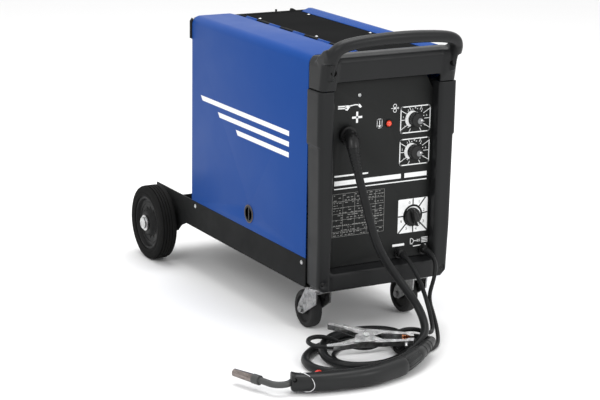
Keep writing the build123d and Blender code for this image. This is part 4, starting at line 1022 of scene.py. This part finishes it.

# rivet heads of the clamp
for s in (-1, 1):
    lathe(f"rivet_head_{s + 1}", RIV + PV * s * 0.0064, PV * s, [(0, 0.0062), (0.0008, 0.0062), (0.0010, 0.0044), (0.0024, 0.0036), (0.0032, 0.0020), (0.0034, 0)],
          "zinc", "machine", n=28)
# end lip of the bottle cradle, just proud of the case side
for s in (-1, 1):
    V = [mm((s * a, b, c)) for a, b, c in ((147, 189, 503), (151.4, 190, 503), (151.4, 196, 503), (147, 196, 503), (147, 189, 545), (151.4, 190, 539),
                                          (151.4, 196, 539), (147, 196, 545))]
    new_mesh(f"cradle_lip_{s + 1}", V, [(0, 1, 2, 3), (4, 5, 6, 7), (0, 1, 5, 4), (1, 2, 6, 5), (2, 3, 7, 6), (3, 0, 4, 7)], "black_paint", "machine", smooth=False)

# tapered strain reliefs, on the first stretch of each lead
def route_points(curve_obj):
    cu = curve_obj.data.copy()
    cu.bevel_depth = 0.0
    cu.use_fill_caps = False
    tmp = link(bpy.data.objects.new("route", cu))
    bpy.context.view_layer.update()
    me = bpy.data.meshes.new_from_object(tmp.evaluated_get(bpy.context.evaluated_depsgraph_get()))
    pts = [v.co.copy() for v in me.vertices]
    bpy.data.objects.remove(tmp)
    return pts


def relief(name, lead, r0, r1, length, grooves):
    pts = route_points(lead)
    out, run = [pts[0]], 0.0
    for a, b in zip(pts, pts[1:]):
        seg = (b - a).length
        k = max(1, int(seg / 0.0006))
        for j in range(1, k + 1):
            if run + seg * j / k <= length:
                out.append(a.lerp(b, j / k))
        run += seg
        if run > length:
            break

    def sec(t):
        r = r0 + (r1 - r0) * t ** 0.8
        g = (t - 0.12) / 0.8 * grooves
        if 0 < g < grooves and (g % 1) > 0.72:
            r -= 0.0009
        return circle_pts(r, r, 24)
    return swept(name, out, sec, "cable_rubber", "machine", up=Vector((1, 0, 0)))


torch_relief = relief("torch_strain_relief", torch_lead, 0.0118, 0.0086, 0.046, 6)
earth_relief = relief("earth_strain_relief", earth_lead, 0.0068, 0.0046, 0.026, 5)
mains_relief = relief("mains_strain_relief", mains_lead, 0.0068, 0.0044, 0.028, 5)

# faceted signal lamp with its bezel
lamp = lathe("signal_lamp", mm((13, -329.1, 410.4)), (0, -1, 0), [(0, 0.0062), (0.0012, 0.0062), (0.0030, 0.0052), (0.0042, 0.0036), (0.0046, 0.0016), (0.0047, 0)],
             "lens_red", "machine", n=10)
lathe("lamp_bezel", mm((13, -329.1, 410.4)), (0, -1, 0), [(0, 0.0061), (0.0016, 0.0062), (0.0020, 0.0068), (0.0012, 0.0074), (0, 0.0075)], "knob_plastic",
      "machine", n=32, loop=True)
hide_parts("led_lens")

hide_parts("torch_cable", "torch_cable_coil")
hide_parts("earth_cable")
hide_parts("mains_cable")

# ------------------------------------------------------------------ floor and light
fl = bpy.data.meshes.new("floor")
S = 9.0
fl.from_pydata([(-S, -S, -0.0004), (S, -S, -0.0004), (S, S, -0.0004), (-S, S, -0.0004)], [], [(0, 1, 2, 3)])
floor = link(bpy.data.objects.new("floor", fl))
fm = bpy.data.materials.new("floor_pale")
fm.use_nodes = True
fm.node_tree.nodes["Principled BSDF"].inputs["Base Color"].default_value = (0.86, 0.86, 0.86, 1)
fm.node_tree.nodes["Principled BSDF"].inputs["Roughness"].default_value = 0.9
fl.materials.append(fm)

world = bpy.data.worlds.new("studio")
bpy.context.scene.world = world
world.use_nodes = True
world.node_tree.nodes["Background"].inputs["Color"].default_value = (1, 1, 1, 1)
world.node_tree.nodes["Background"].inputs["Strength"].default_value = 1.0


def area(name, loc, target, size, power):
    d = bpy.data.lights.new(name, "AREA")
    d.shape = "RECTANGLE"
    d.size, d.size_y = size
    d.energy = power
    o = link(bpy.data.objects.new(name, d))
    o.location = loc
    o.rotation_euler = (Vector(target) - Vector(loc)).to_track_quat("-Z", "Y").to_euler()


area("key", (-2.4, -1.8, 2.4), (0, -0.1, 0.3), (1.3, 1.3), 26)
area("front", (1.2, -3.0, 1.6), (0, -0.3, 0.3), (1.0, 1.0), 20)
area("top", (0.3, 0.4, 3.0), (0, 0, 0.4), (2.2, 2.2), 58)

bpy.context.scene.view_settings.view_transform = "Standard"
